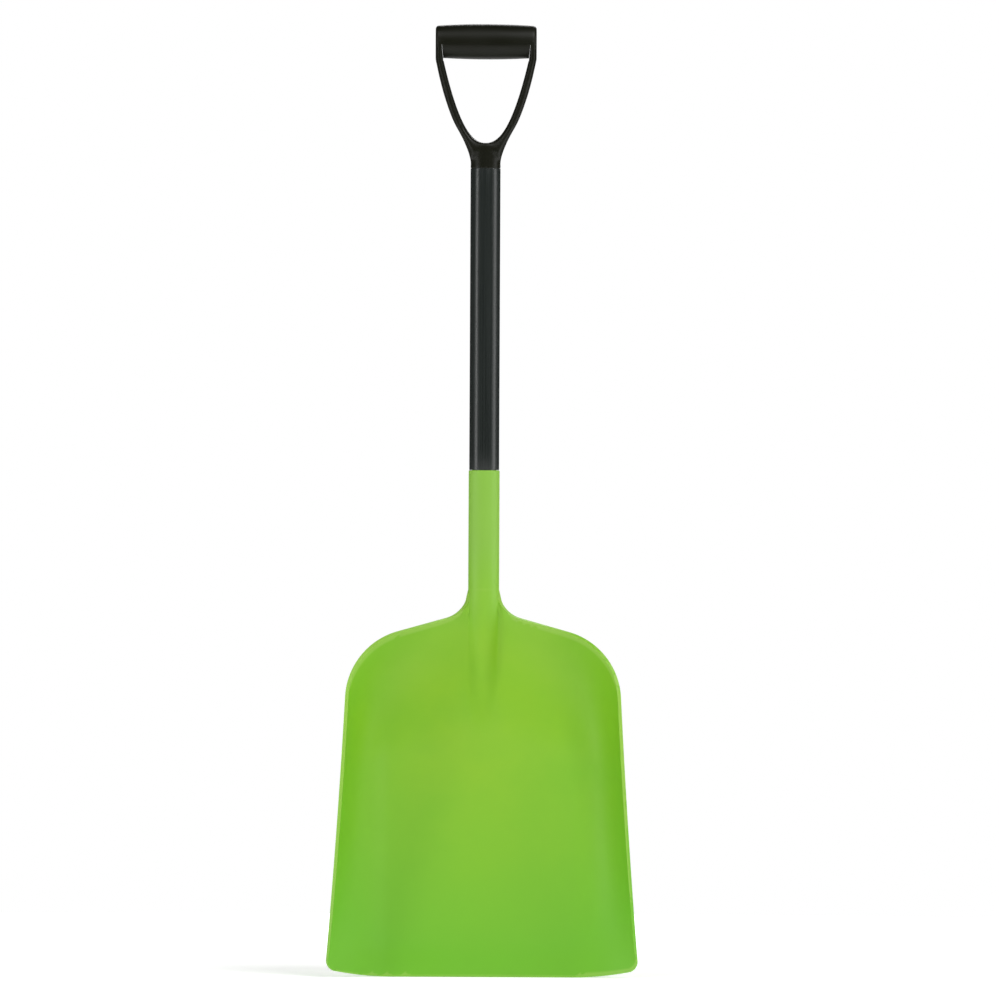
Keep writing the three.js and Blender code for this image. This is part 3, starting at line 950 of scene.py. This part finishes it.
    def with_ridge(self, point: Vector, foot: float, side: int) -> Vector:
        """Raise a ridge on one face of the pan that turns into the round socket at the neck.

        Args:
            point: a point of the face.
            foot: height at which the ridge runs out.
            side: 1 for the rear face, -1 for the front.

        Returns:
            The raised point.
        """
        below_neck = self.neck_height - 2 * self.socket_radius
        climb = smoothstep(point.z, foot, self.neck_height) ** self.ridge_climb
        neckward = smoothstep(point.z, below_neck, self.neck_height)
        spread = clamp((point.z - foot) / (below_neck - foot))
        wide = lerp(self.ridge_foot_half_width, self.ridge_half_width, spread)
        bell = (1 - clamp(point.x / wide, -1, 1) ** 2) ** 2
        level = side * point.y
        hump = level + max(0.0, self.socket_radius - level) * climb * bell
        tube = self.socket_radius * math.sqrt(1 - clamp(point.x / self.socket_radius, -1, 1) ** 2)
        return Vector((point.x, side * lerp(hump, max(level, tube), neckward), point.z))

    def outer_point(self, across: float, up: float) -> Vector:
        """Point of the outer face with the swelling behind the neck."""
        return self.with_ridge(self.outer_face(across, up), self.rear_ridge_foot, 1)

    def inner_point(self, across: float, up: float) -> Vector:
        """Point of the inner face with the ridge that runs down from the socket.

        Args:
            across: -1 to 1 from side to side.
            up: 0 at the lip to 1 at the back edge.

        Returns:
            The point, in millimetres.
        """
        wall = lerp(self.lip_wall, self.pan_wall, smoothstep(up, 0, self.lip_taper))
        point = self.outer_face(across, up) + self.inward_normal(across, up) * wall
        return self.with_ridge(point, self.front_ridge_foot, -1)

    def shell(self) -> tuple[BMesh, list[BMEdge], list[BMEdge]]:
        """Bend two grids into the pan's faces and bridge them round the rim.

        Returns:
            The mesh, the open ring at the top of the neck and the rim's edges.
        """
        bm = bmesh.new()
        table = self.columns()
        columns = len(table) - 1
        bmesh.ops.create_grid(bm, x_segments=2 * columns, y_segments=self.rows, size=1.0)
        inner = list(bm.verts)
        copy = bmesh.ops.duplicate(bm, geom=list(bm.verts) + list(bm.edges) + list(bm.faces))
        outer = [item for item in copy["geom"] if isinstance(item, BMVert)]
        outer_faces = [item for item in copy["geom"] if isinstance(item, bmesh.types.BMFace)]
        bmesh.ops.reverse_faces(bm, faces=outer_faces)
        neck_verts = set()
        for verts, place in ((inner, self.inner_point), (outer, self.outer_point)):
            for vert in verts:
                across, start = table[round(abs(vert.co.x) * columns)]
                up = lerp(start, 1, (vert.co.y + 1) / 2)
                vert.co = place(math.copysign(across, vert.co.x), up)
                if up > 1 - TINY and across < self.neck_share + TINY:
                    vert.co = round_ring(self.socket_radius, self.neck_height)(vert.co)
                    neck_verts.add(vert)
        border = open_loop(bm)
        bmesh.ops.bridge_loops(bm, edges=border)
        rim = [edge for edge in border if not set(edge.verts) <= neck_verts]
        self.settle(bm, {vert for edge in rim for vert in edge.verts})
        across_neck = [face for face in bm.faces if set(face.verts) <= neck_verts]
        bmesh.ops.delete(bm, geom=across_neck, context="FACES_ONLY")
        return bm, open_loop(bm), rim

    def settle(self, bm: BMesh, rim: set[BMVert]) -> None:
        """Soften the swellings round the neck without moving the rim.

        Args:
            bm: the pan.
            rim: vertices that stay where they are.
        """
        for i in range(self.settling):
            drift = self.settling_step * i
            low, high = self.soft_from + drift, self.neck_height - self.socket_radius - drift
            soft = [vert for vert in bm.verts if low < vert.co.z < high and vert not in rim]
            smoothed(bm, soft, 1)

    def pad_lift(self, point: Vector) -> Vector:
        """Raise the socket's back to a flat pad round each screw.

        Args:
            point: a point of the socket.

        Returns:
            The raised point.
        """
        if point.y <= 0:
            return point
        plane = self.socket_radius + self.pad_height
        for drop in self.pad_drops:
            distance = math.hypot(point.x, point.z - (self.socket_top - drop))
            weight = 1 - smoothstep(distance, *(self.pad_radius + part for part in self.pad_blend))
            point.y = lerp(point.y, plane, weight)
        return point

    def socket_heights(self) -> list[float]:
        """Space the socket's rings, close together only at the screw pads.

        Returns:
            Their heights.
        """
        heights = [self.neck_height + self.first_ring]
        reach, rings = self.pad_radius + self.pad_margin, self.pad_rings
        for drop in sorted(self.pad_drops, reverse=True):
            middle = self.socket_top - drop
            heights += [lerp(middle - reach, middle + reach, i / rings) for i in range(rings + 1)]
        return heights + [self.socket_top - drop for drop in self.plain_rings]

    def add_socket(self, bm: BMesh, ring: list[BMEdge]) -> None:
        """Draw the neck's ring up into the socket, round its rim and sink its bore.

        Args:
            bm: the pan.
            ring: the open ring at the top of the neck.
        """
        for height in self.socket_heights():
            ring, verts = extruded_ring(bm, ring, round_ring(self.socket_radius, height))
            for vert in verts:
                vert.co = self.pad_lift(vert.co)
        edge, steps = self.socket_edge, self.socket_edge_steps
        for i in range(steps + 1):
            turn = i / steps * math.pi / 2
            radius = self.socket_radius - edge * (1 - math.cos(turn))
            height = self.socket_top - edge * (1 - math.sin(turn))
            ring, _ = extruded_ring(bm, ring, round_ring(radius, height))
        bore_floor = self.socket_top - self.socket_bore_depth
        for radius, height in (
            (self.bore_radius + self.bore_chamfer, self.socket_top),
            (self.bore_radius, self.socket_top - self.bore_chamfer),
            (self.bore_radius, bore_floor),
        ):
            ring, _ = extruded_ring(bm, ring, round_ring(radius, height))
        bmesh.ops.edgeloop_fill(bm, edges=ring)

    def corner_arc(self) -> tuple[Vector, float, float]:
        """Arc that rounds the right lower corner.

        Returns:
            Its centre as (x, z), and the angles of its two tangent points.
        """
        corner = self.outer_face(1, 0)
        beside = self.outer_face(1 - self.probe, 0)
        above = self.outer_face(1, self.probe)
        bottom = math.atan2(corner.z - beside.z, corner.x - beside.x)
        lean = math.atan2(corner.x - above.x, above.z - corner.z)
        radius = self.lip_corner_radius
        back = radius / math.tan(math.pi / 4 + (bottom - lean) / 2)
        centre = Vector(
            (
                corner.x - back * math.cos(bottom) - radius * math.sin(bottom),
                corner.z - back * math.sin(bottom) + radius * math.cos(bottom),
            )
        )
        return centre, bottom - math.pi / 2, lean

    def corner_columns(self) -> list[tuple[float, float]]:
        """Columns of the grid that start on the rounded corner.

        Returns:
            For each column its place across and the height share at which it starts.
        """
        centre, start, end = self.corner_arc()
        table = []
        for i in range(self.corner_steps + 1):
            angle = lerp(start, end, i / self.corner_steps)
            target = centre + on_circle(self.lip_corner_radius, angle)
            inside, outside = self.neck_share, 1.0
            for _ in range(self.halvings):
                across = (inside + outside) / 2
                foot, top = self.outer_face(across, 0).z, self.outer_face(across, 1).z
                up = max(0.0, (target.y - foot) / (top - foot))
                if self.outer_face(across, up).x < target.x:
                    inside = across
                else:
                    outside = across
            table.append((across, up))
        return table

    def columns(self) -> list[tuple[float, float]]:
        """Place the grid's columns from the middle to the side.

        Returns:
            For each column its place across and the height share at which it starts.
        """
        corner = self.corner_columns()
        straight = self.side_columns - self.corner_steps
        neck = [(self.neck_share * i / self.neck_columns, 0.0) for i in range(self.neck_columns)]
        side = [(lerp(self.neck_share, corner[0][0], i / straight), 0.0) for i in range(straight)]
        return neck + side + corner

    def build(self) -> bpy.types.Object:
        """Make the blade and return it."""
        bm, ring, rim = self.shell()
        self.add_socket(bm, ring)
        rounded(bm, [edge for edge in rim if edge.is_valid], self.rim_round, self.rim_steps)
        piece = Piece("scoop_blade", "blade", "lime_polypropylene", self.material)
        return finish_piece(bm, piece, self.shaft_y)


# ---------------------------------------------------------------------------------------------
# Shaft
# ---------------------------------------------------------------------------------------------


@dataclass
class Shaft:
    """The black sleeve over the steel core tube, which keeps the frame's own mesh."""

    sleeve_material: bpy.types.Material
    core_material: bpy.types.Material
    shaft_y: float
    bore_radius: float = 14.3
    edge_round: float = 0.4
    segments: int = 112
    lengths: int = 12
    edge_steps: int = 3

    def build(self) -> bpy.types.Object:
        """Make the sleeve, dress the core tube, and return the sleeve."""
        low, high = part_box("shaft_sleeve")
        radius = (high.x - low.x) / 2 / MM
        bottom, top = low.z / MM, high.z / MM
        bm = bmesh.new()
        outside = [(radius, lerp(bottom, top, i / self.lengths)) for i in range(self.lengths + 1)]
        inside = [(self.bore_radius, top), (self.bore_radius, bottom)]
        turned(bm, [*outside, *inside], self.segments, closed=True)
        rims = [edge for edge in bm.edges if edge.calc_face_angle(0) > STEEP]
        rounded(bm, rims, self.edge_round, self.edge_steps)
        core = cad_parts["core_tube"]
        core.data.materials.clear()
        core.data.materials.append(self.core_material)
        material, shading = self.sleeve_material, Shading.MACHINED
        piece = Piece("black_sleeve", "shaft_sleeve", "black_sleeve", material, shading)
        return finish_piece(bm, piece, self.shaft_y)


# ---------------------------------------------------------------------------------------------
# Hand grip
# ---------------------------------------------------------------------------------------------


@dataclass
class HandGrip:
    """The D-shaped grip: a moulded yoke and the insert that closes the lower half of its bar."""

    material: bpy.types.Material
    shaft_y: float
    bottom: float  # height of the grip's lower end above the floor, in millimetres

    neck_radius: float = 17.3
    neck_length: float = 29.0
    neck_overlap: float = 9.0
    core_in_grip: float = 22.0
    bore_radius: float = 14.3
    spigot_radius: float = 12.2
    spigot_wall: float = 4.0
    spigot_length: float = 70.0
    spigot_edge: float = 1.0
    opening_height: float = 97.0
    opening_half_width: float = 49.5
    opening_flare: float = 0.9
    opening_steps: int = 24
    arm_thickness: float = 9.0
    arm_half_depth: float = 11.5
    arm_share: float = 0.86
    arm_start: float = 0.12
    arm_slim_at: float = 0.45
    arm_deeper_from: float = 0.55
    arm_inset_in_bar: float = 1.0
    arm_squareness: float = 2 / 2.6
    arm_outside: tuple[tuple[float, float], ...] = (
        (0.0, 0.0),
        (0.03, 0.11),
        (0.21, 0.26),
        (0.5, 0.44),
        (0.715, 0.63),
        (0.87, 0.81),
        (1.0, 1.0),
    )
    bar_half_height: float = 20.5
    bar_half_depth: float = 16.5
    bar_crown: float = 2.0
    bar_end_round: float = 3.5
    bar_wall: float = 3.2
    snap_lip: float = 5.0
    snap_lip_wall: float = 2.2
    joint_gap: float = 0.2
    joint_round: float = 0.25
    joint_steps: int = 2
    reach: float = 2.0
    joint_drop: float = 3.05
    joint_lean: float = 2.0
    pads: ScrewPads = field(default_factory=lambda: ScrewPads(heights=(12.0,)))
    neck_segments: int = 96
    bore_segments: int = 72
    arm_grid: tuple[int, int] = (64, 48)
    bar_grid: tuple[int, int] = (56, 96)
    voxel: float = 0.8
    flat_foot: float = 3.0
    smoothing: int = 12
    crotch_top: float = 50.0
    crotch_half_width: float = 32.0
    crotch_smoothing: int = 50

    def __post_init__(self) -> None:
        """Work out what follows from the driving sizes."""
        self.bar_bottom = self.neck_length + self.opening_height
        self.bar_middle = self.bar_bottom + self.bar_half_height
        self.joint_height = self.bar_middle - self.joint_drop
        self.bar_half_length = self.opening_half_width + self.arm_thickness

    def outside_share(self, share: float) -> Vector:
        """Smooth curve through the arm's outer points.

        Args:
            share: 0 to 1 along the points.

        Returns:
            Widening and height, each as a share.
        """
        points = [Vector(point) for point in self.arm_outside]
        index = min(int(clamp(share) * (len(points) - 1)), len(points) - 2)
        t = clamp(share) * (len(points) - 1) - index
        start, end = points[index], points[index + 1]
        slope_in = (end - points[max(index - 1, 0)]) / 2
        slope_out = (points[min(index + 2, len(points) - 1)] - start) / 2
        from_start = (2 * t**3 - 3 * t**2 + 1) * start + (t**3 - 2 * t**2 + t) * slope_in
        return from_start + (3 * t**2 - 2 * t**3) * end + (t**3 - t**2) * slope_out

    def arm_edges(self, share: float) -> tuple[Vector, Vector]:
        """Find both edges of the right arm.

        Args:
            share: place along the arm, 0 at its foot and 1 inside the bar.

        Returns:
            Inner and outer edge, as (x, z).
        """
        below = min(share / self.arm_share, 1)
        into_bar = max(0.0, (share - self.arm_share) / (1 - self.arm_share)) * self.bar_half_height
        outside = self.outside_share(lerp(self.arm_start, 1, below))
        inner_height = self.neck_length + self.opening_height * below**2 + into_bar
        outer_x = lerp(self.neck_radius, self.bar_half_length, outside.x)
        inner = Vector((self.opening_half_width * below**self.opening_flare, inner_height))
        return inner, Vector((outer_x, self.bar_bottom * outside.y + into_bar))

    def arm_point(self, side: int, share: float, angle: float) -> Vector:
        """Corner of an arm's rounded section.

        Args:
            side: 1 for the right arm, -1 for the left.
            share: place along the arm.
            angle: direction of the corner.

        Returns:
            The point.
        """
        inner, outer = self.arm_edges(share)
        middle, half = (inner + outer) / 2, (outer - inner) / 2
        slim = lerp(self.neck_radius, self.arm_half_depth, smoothstep(share, 0, self.arm_slim_at))
        in_bar = self.bar_half_depth - self.arm_inset_in_bar
        depth = lerp(slim, in_bar, smoothstep(share, self.arm_deeper_from, self.arm_share))
        c, s = math.cos(angle), math.sin(angle)
        wide = math.copysign(abs(c) ** self.arm_squareness, c)
        deep = math.copysign(abs(s) ** self.arm_squareness, s)
        return Vector((side * (middle.x + half.x * wide), depth * deep, middle.y + half.y * wide))

    def bar_point(self, inset: float, share: float, angle: float) -> Vector:
        """Corner of the bar's section.

        Args:
            inset: how much smaller the section is all round than the outside of the bar.
            share: place along the bar.
            angle: direction of the corner.

        Returns:
            The point.
        """
        half_length, ends = self.bar_half_length - inset, self.bar_end_round
        x = -half_length * math.cos(math.pi * share)
        from_end = min(half_length - abs(x), ends)
        rounding = ends - math.sqrt(max(0.0, ends**2 - (ends - from_end) ** 2))
        loss = inset + rounding + self.bar_crown * (x / self.bar_half_length) ** 2
        deep = (self.bar_half_depth - loss) * math.cos(angle)
        high = (self.bar_half_height - loss) * math.sin(angle)
        return Vector((x, deep, self.bar_middle + high))

    def barrel(self, inset: float) -> BMesh:
        """Make the whole bar as a solid barrel along X.

        Args:
            inset: how much smaller it is all round than the outside of the bar.

        Returns:
            The mesh.
        """
        bm = bmesh.new()
        lofted(bm, lambda share, angle: self.bar_point(inset, share, angle), *self.bar_grid)
        return bm

    def slice_of_bar(
        self, inset: float, end: float, low: float, high: float, lean: float = 0.0
    ) -> BMesh:
        """Part of the barrel between two heights and both ends, which lean out towards the top."""
        return combined(self.barrel(inset), [("INTERSECT", self.joint_block(end, low, high, lean))])

    def joint_block(self, end: float, low: float, high: float, lean: float) -> BMesh:
        """Block across the bar whose ends lean out towards the top.

        Args:
            end: half length at the foot.
            low: height of the foot.
            high: height of the top.
            lean: how much farther out each end stands at the top.

        Returns:
            The block.
        """
        wide = 2 * self.bar_half_length
        bm = block((-end, -wide, low), (end, wide, high))
        for vert in bm.verts:
            if vert.co.z > (low + high) / 2:
                vert.co.x += math.copysign(lean, vert.co.x)
        return bm

    def hand_opening(self) -> BMesh:
        """Fill the space inside the D, right through from front to back.

        Returns:
            The mesh.
        """
        bm = bmesh.new()
        steps = self.opening_steps
        front = -2 * self.bar_half_depth
        right = [self.arm_edges(self.arm_share * i / steps)[0] for i in range(steps + 1)]
        left = [Vector((-point.x, point.y)) for point in reversed(right[1:])]
        verts = [bm.verts.new((point.x, front, point.y)) for point in (*right, *left)]
        face = bm.faces.new(verts)
        through = bmesh.ops.extrude_face_region(bm, geom=[face])["geom"]
        moved = [item for item in through if isinstance(item, BMVert)]
        bmesh.ops.translate(bm, verts=moved, vec=(0, -2 * front, 0))
        return bm

    def body(self) -> BMesh:
        """Blend neck, arms and bar into one smooth solid.

        Returns:
            The mesh.
        """
        neck = bmesh.new()
        top = self.neck_length + self.neck_overlap
        shoulder = self.neck_overlap / 2
        profile = [(0, 0), (self.neck_radius, 0), (self.neck_radius, top - shoulder)]
        turned(neck, [*profile, (self.neck_radius - shoulder, top), (0, top)], self.neck_segments)
        arms = []
        for side in (1, -1):
            arm = bmesh.new()
            lofted(arm, lambda share, angle: self.arm_point(side, share, angle), *self.arm_grid)
            arms.append(("UNION", arm))
        tools = [*arms, ("UNION", self.barrel(0.0)), ("DIFFERENCE", self.hand_opening())]
        bm = remeshed(combined(neck, tools), self.voxel)
        inside = [vert for vert in bm.verts if vert.co.z > self.flat_foot]
        smoothed(bm, inside, self.smoothing)
        low = [vert for vert in inside if vert.co.z < self.crotch_top]
        crotch = [vert for vert in low if abs(vert.co.x) < self.crotch_half_width]
        smoothed(bm, crotch, self.crotch_smoothing)
        return bm

    def yoke(self) -> BMesh:
        """Open the body for the insert and the core tube, and give it its spigot and screw hole.

        Returns:
            The mesh.
        """
        end, below = self.opening_half_width, self.bar_bottom - self.reach
        segments = self.bore_segments
        under_bar = self.joint_block(end, below, self.joint_height, self.joint_lean)
        hollow = self.slice_of_bar(self.bar_wall, end, 0, 2 * self.bar_middle)
        recess = bmesh.new()
        recess_top = self.core_in_grip + FIT_GAP
        edge, inner, outer = self.spigot_edge, self.spigot_radius, self.bore_radius
        profile = [(inner, -edge), (outer, -edge), (outer, recess_top), (inner, recess_top)]
        turned(recess, profile, segments, closed=True)
        spigot = bmesh.new()
        foot = -self.spigot_length
        profile = [(0, foot), (inner - edge, foot), (inner, foot + edge), (inner, edge), (0, edge)]
        turned(spigot, profile, segments)
        bore = bmesh.new()
        radius, top = inner - self.spigot_wall, self.core_in_grip
        turned(bore, [(0, foot - edge), (radius, foot - edge), (radius, top), (0, top)], segments)
        return combined(
            self.body(),
            [
                ("DIFFERENCE", under_bar),
                ("DIFFERENCE", hollow),
                *self.pads.tools(self.neck_radius),
                ("DIFFERENCE", recess),
                ("UNION", spigot),
                ("DIFFERENCE", bore),
            ],
        )

    def insert(self) -> BMesh:
        """Make the lower half of the bar, with the tongue that snaps into the upper half.

        Returns:
            The mesh.
        """
        end, middle = self.opening_half_width - self.joint_gap, self.joint_height
        inset = self.bar_wall + FIT_GAP
        below = self.bar_bottom - self.reach
        shell = self.slice_of_bar(0.0, end, below, middle - self.joint_gap, self.joint_lean)
        rims = [edge for edge in shell.edges if edge.calc_face_angle(0) > STEEP]
        rounded(shell, rims, self.joint_round, self.joint_steps)
        tongue = self.slice_of_bar(inset, end, middle - self.snap_lip, middle + self.snap_lip)
        wall = self.snap_lip_wall
        hollow = self.slice_of_bar(inset + wall, end - wall, 0, 2 * self.bar_middle)
        return combined(shell, [("UNION", tongue), ("DIFFERENCE", hollow)])

    def build(self) -> None:
        """Make the yoke and the insert."""
        yoke = (self.yoke(), "d_grip_yoke", "grip_yoke")
        insert = (self.insert(), "bar_insert", "grip_insert")
        for bm, name, node in (yoke, insert):
            bmesh.ops.translate(bm, vec=(0, 0, self.bottom), verts=bm.verts)
            finish_piece(bm, Piece(name, node, "black_polypropylene", self.material), self.shaft_y)


# ---------------------------------------------------------------------------------------------
# Screws
# ---------------------------------------------------------------------------------------------


@dataclass
class PanHeadScrew:
    """A cross-recessed self-tapping screw driven in from behind."""

    material: bpy.types.Material
    shaft_y: float
    radius: float = 2.1
    length: float = 15.0
    point: float = 4.0
    thread_pitch: float = 1.4
    head_radius: float = 4.2
    head_height: float = 2.6
    recess_length: float = 0.55
    recess_width: float = 0.14
    recess_floor: float = 0.45
    head_side: float = 0.3
    head_edge: float = 0.2
    dome_steps: int = 8
    dome_squareness: float = 0.8
    thread_root: float = 0.72
    segments: int = 48

    def head_profile(self) -> list[tuple[float, float]]:
        """Profile of the head: short upright side, then a low dome.

        Returns:
            (radius, height) points.
        """
        radius, edge, side = self.head_radius, self.head_edge, self.head_height * self.head_side
        dome = []
        for i in range(self.dome_steps):
            turn = i / self.dome_steps * math.pi / 2
            height = side + (self.head_height - side) * math.sin(turn)
            dome.append((radius * math.cos(turn) ** self.dome_squareness, height))
        return [(radius - edge, 0.0), (radius, edge), *dome, (0.0, self.head_height)]

    def shank_profile(self) -> list[tuple[float, float]]:
        """Profile of the shank: point, then thread crests and roots up to the head.

        Returns:
            (radius, height) points.
        """
        profile = [(0.0, -self.length)]
        height, root = self.point - self.length, self.radius * self.thread_root
        while height < -self.thread_pitch:
            profile += [(self.radius, height), (root, height + self.thread_pitch / 2)]
            height += self.thread_pitch
        return [*profile, (self.radius, height), (self.radius, 0.0)]

    def build(self, node: str, name: str) -> None:
        """Make one screw where its node stands.

        Args:
            node: the frame's node that it stands for.
            name: the piece's name.
        """
        low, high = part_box(node)
        bm = bmesh.new()
        turned(bm, [*self.shank_profile(), *self.head_profile()], self.segments)
        long, wide = self.head_radius * self.recess_length, self.head_radius * self.recess_width
        floor, top = self.head_height * self.recess_floor, self.head_height + 1
        slots = [
            ("DIFFERENCE", block((-long, -wide, floor), (long, wide, top))),
            ("DIFFERENCE", block((-wide, -long, floor), (wide, long, top))),
        ]
        bm = combined(bm, slots)
        underside = high.y / MM - self.head_height
        seat = (0, underside - self.shaft_y / MM, (low.z + high.z) / 2 / MM)
        bmesh.ops.rotate(bm, verts=bm.verts, matrix=Matrix.Rotation(-math.pi / 2, 3, "X"))
        bmesh.ops.translate(bm, verts=bm.verts, vec=seat)
        piece = Piece(name, node, "screw_steel", self.material, Shading.MACHINED)
        finish_piece(bm, piece, self.shaft_y)


# ---------------------------------------------------------------------------------------------
# Studio
# ---------------------------------------------------------------------------------------------


@dataclass(frozen=True)
class SoftLight:
    """One rectangular soft box aimed at a spot."""

    name: str
    place: tuple[float, float, float]
    target: tuple[float, float, float]
    size: tuple[float, float]
    power: float
    colour: str = "#FFFFFF"

    def build(self) -> None:
        """Hang the light."""
        data = bpy.data.lights.new(self.name, "AREA")
        data.shape = "RECTANGLE"
        data.size, data.size_y = self.size
        data.energy = self.power
        data.color = linear(self.colour)[:3]
        lamp = bpy.data.objects.new(self.name, data)
        lamp.matrix_world = facing(self.place, self.target)
        bpy.context.scene.collection.objects.link(lamp)


@dataclass
class Studio:
    """White paper floor, soft lights and a level long-lens camera in front of the shovel."""

    paper: bpy.types.Material
    floor_radius: float = 2.4
    floor_segments: int = 96
    camera_distance: float = 16.0
    far_limit: float = 4.0
    frame_height: float = 1.153
    aim: tuple[float, float] = (0.0179, 0.55)
    sensor: float = 36.0
    world_light: float = 0.06
    roll: float = math.radians(0.27)
    lights: tuple[SoftLight, ...] = (
        SoftLight("upper left soft box", (-1.3, -1.9, 3.1), (0.0, 0.0, 0.5), (1.4, 1.1), 33.0),
        SoftLight("upper right soft box", (1.3, -1.9, 3.1), (0.0, 0.0, 0.5), (1.4, 1.1), 66.0),
        SoftLight("left strip box", (-1.6, -0.62, 0.8), (0.0, 0.0, 0.8), (0.3, 2.0), 12.0),
        SoftLight("soft box behind", (0.4, 2.6, 2.6), (0.0, 0.0, 0.5), (1.6, 1.2), 30.0),
        SoftLight("right strip box", (1.6, -0.2, 0.8), (0.0, 0.0, 0.8), (0.7, 2.0), 13.0),
    )

    def build(self) -> None:
        """Set up floor, world, lights and camera."""
        bm = bmesh.new()
        bmesh.ops.create_circle(
            bm, cap_ends=True, radius=self.floor_radius, segments=self.floor_segments
        )
        mesh = bpy.data.meshes.new("paper floor")
        bm.to_mesh(mesh)
        bm.free()
        mesh.materials.append(self.paper)
        floor = bpy.data.objects.new("paper_floor", mesh)
        bpy.context.scene.collection.objects.link(floor)
        self.build_world()
        for light in self.lights:
            light.build()
        self.build_camera()
        LOG.info("studio: floor, %d lights and camera", len(self.lights))

    def build_world(self) -> None:
        """Surround the shovel with dim even light; seen directly, the surroundings are white."""
        world = bpy.data.worlds.new("white studio")
        world.use_nodes = True
        tree = world.node_tree
        tree.nodes.clear()
        seen = add_node(tree, "ShaderNodeLightPath").outputs["Is Camera Ray"]
        strength = Finish.ranged(tree, seen, FULL_RANGE, (self.world_light, 1.0))
        light = {"Color": linear("#FFFFFF"), "Strength": strength}
        backdrop = add_node(tree, "ShaderNodeBackground", light)
        add_node(tree, "ShaderNodeOutputWorld", {"Surface": backdrop.outputs["Background"]})
        bpy.context.scene.world = world

    def build_camera(self) -> None:
        """Stand the camera level in front, far enough away to flatten perspective."""
        data = bpy.data.cameras.new("long lens")
        data.sensor_width = self.sensor
        data.lens = self.sensor * self.camera_distance / self.frame_height
        data.clip_end = self.far_limit * self.camera_distance
        camera = bpy.data.objects.new("camera", data)
        x, z = self.aim
        level = facing((x, -self.camera_distance, z), (x, 0.0, z))
        camera.matrix_world = level @ Matrix.Rotation(self.roll, 4, "Z")
        bpy.context.scene.collection.objects.link(camera)
        bpy.context.scene.camera = camera


def facing(place: Sequence[float], target: Sequence[float]) -> Matrix:
    """Matrix of a camera or light at a place, looking at a target."""
    look = Vector(target) - Vector(place)
    return Matrix.Translation(place) @ look.to_track_quat("-Z", "Y").to_matrix().to_4x4()


def main() -> None:
    """Build the shovel and its studio, piece by piece."""
    logging.basicConfig(level=logging.INFO, format="%(name)s: %(message)s")
    scene = bpy.context.scene
    scene.view_settings.view_transform = "Standard"
    low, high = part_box("shaft_sleeve")
    shaft_y = (low.y + high.y) / 2
    lime = MouldedPolypropylene("lime satin injection-moulded polypropylene").build()
    black = GrainedPolypropylene("black spark-grained polypropylene").build()
    sleeve = ExtrudedSleeve("black satin extruded polypropylene").build()
    zinc = ZincedSteel("hot-dip galvanised steel tube").build()
    bright = {"colour": "#BFC1C0", "patch_colour": "#AEB0AF", "patch_mm": 1.5}
    plated = ZincedSteel("bright zinc-plated screw steel", **bright).build()
    ScoopBlade(lime, shaft_y).build()
    Shaft(sleeve, zinc, shaft_y).build()
    HandGrip(black, shaft_y, high.z / MM + FIT_GAP).build()
    screw = PanHeadScrew(plated, shaft_y)
    for place in ("blade_screw_upper", "blade_screw_lower", "grip_screw"):
        screw.build(place, f"{place}_fine")
    Studio(StudioPaper("white studio paper").build()).build()


if __name__ == "__main__":
    main()
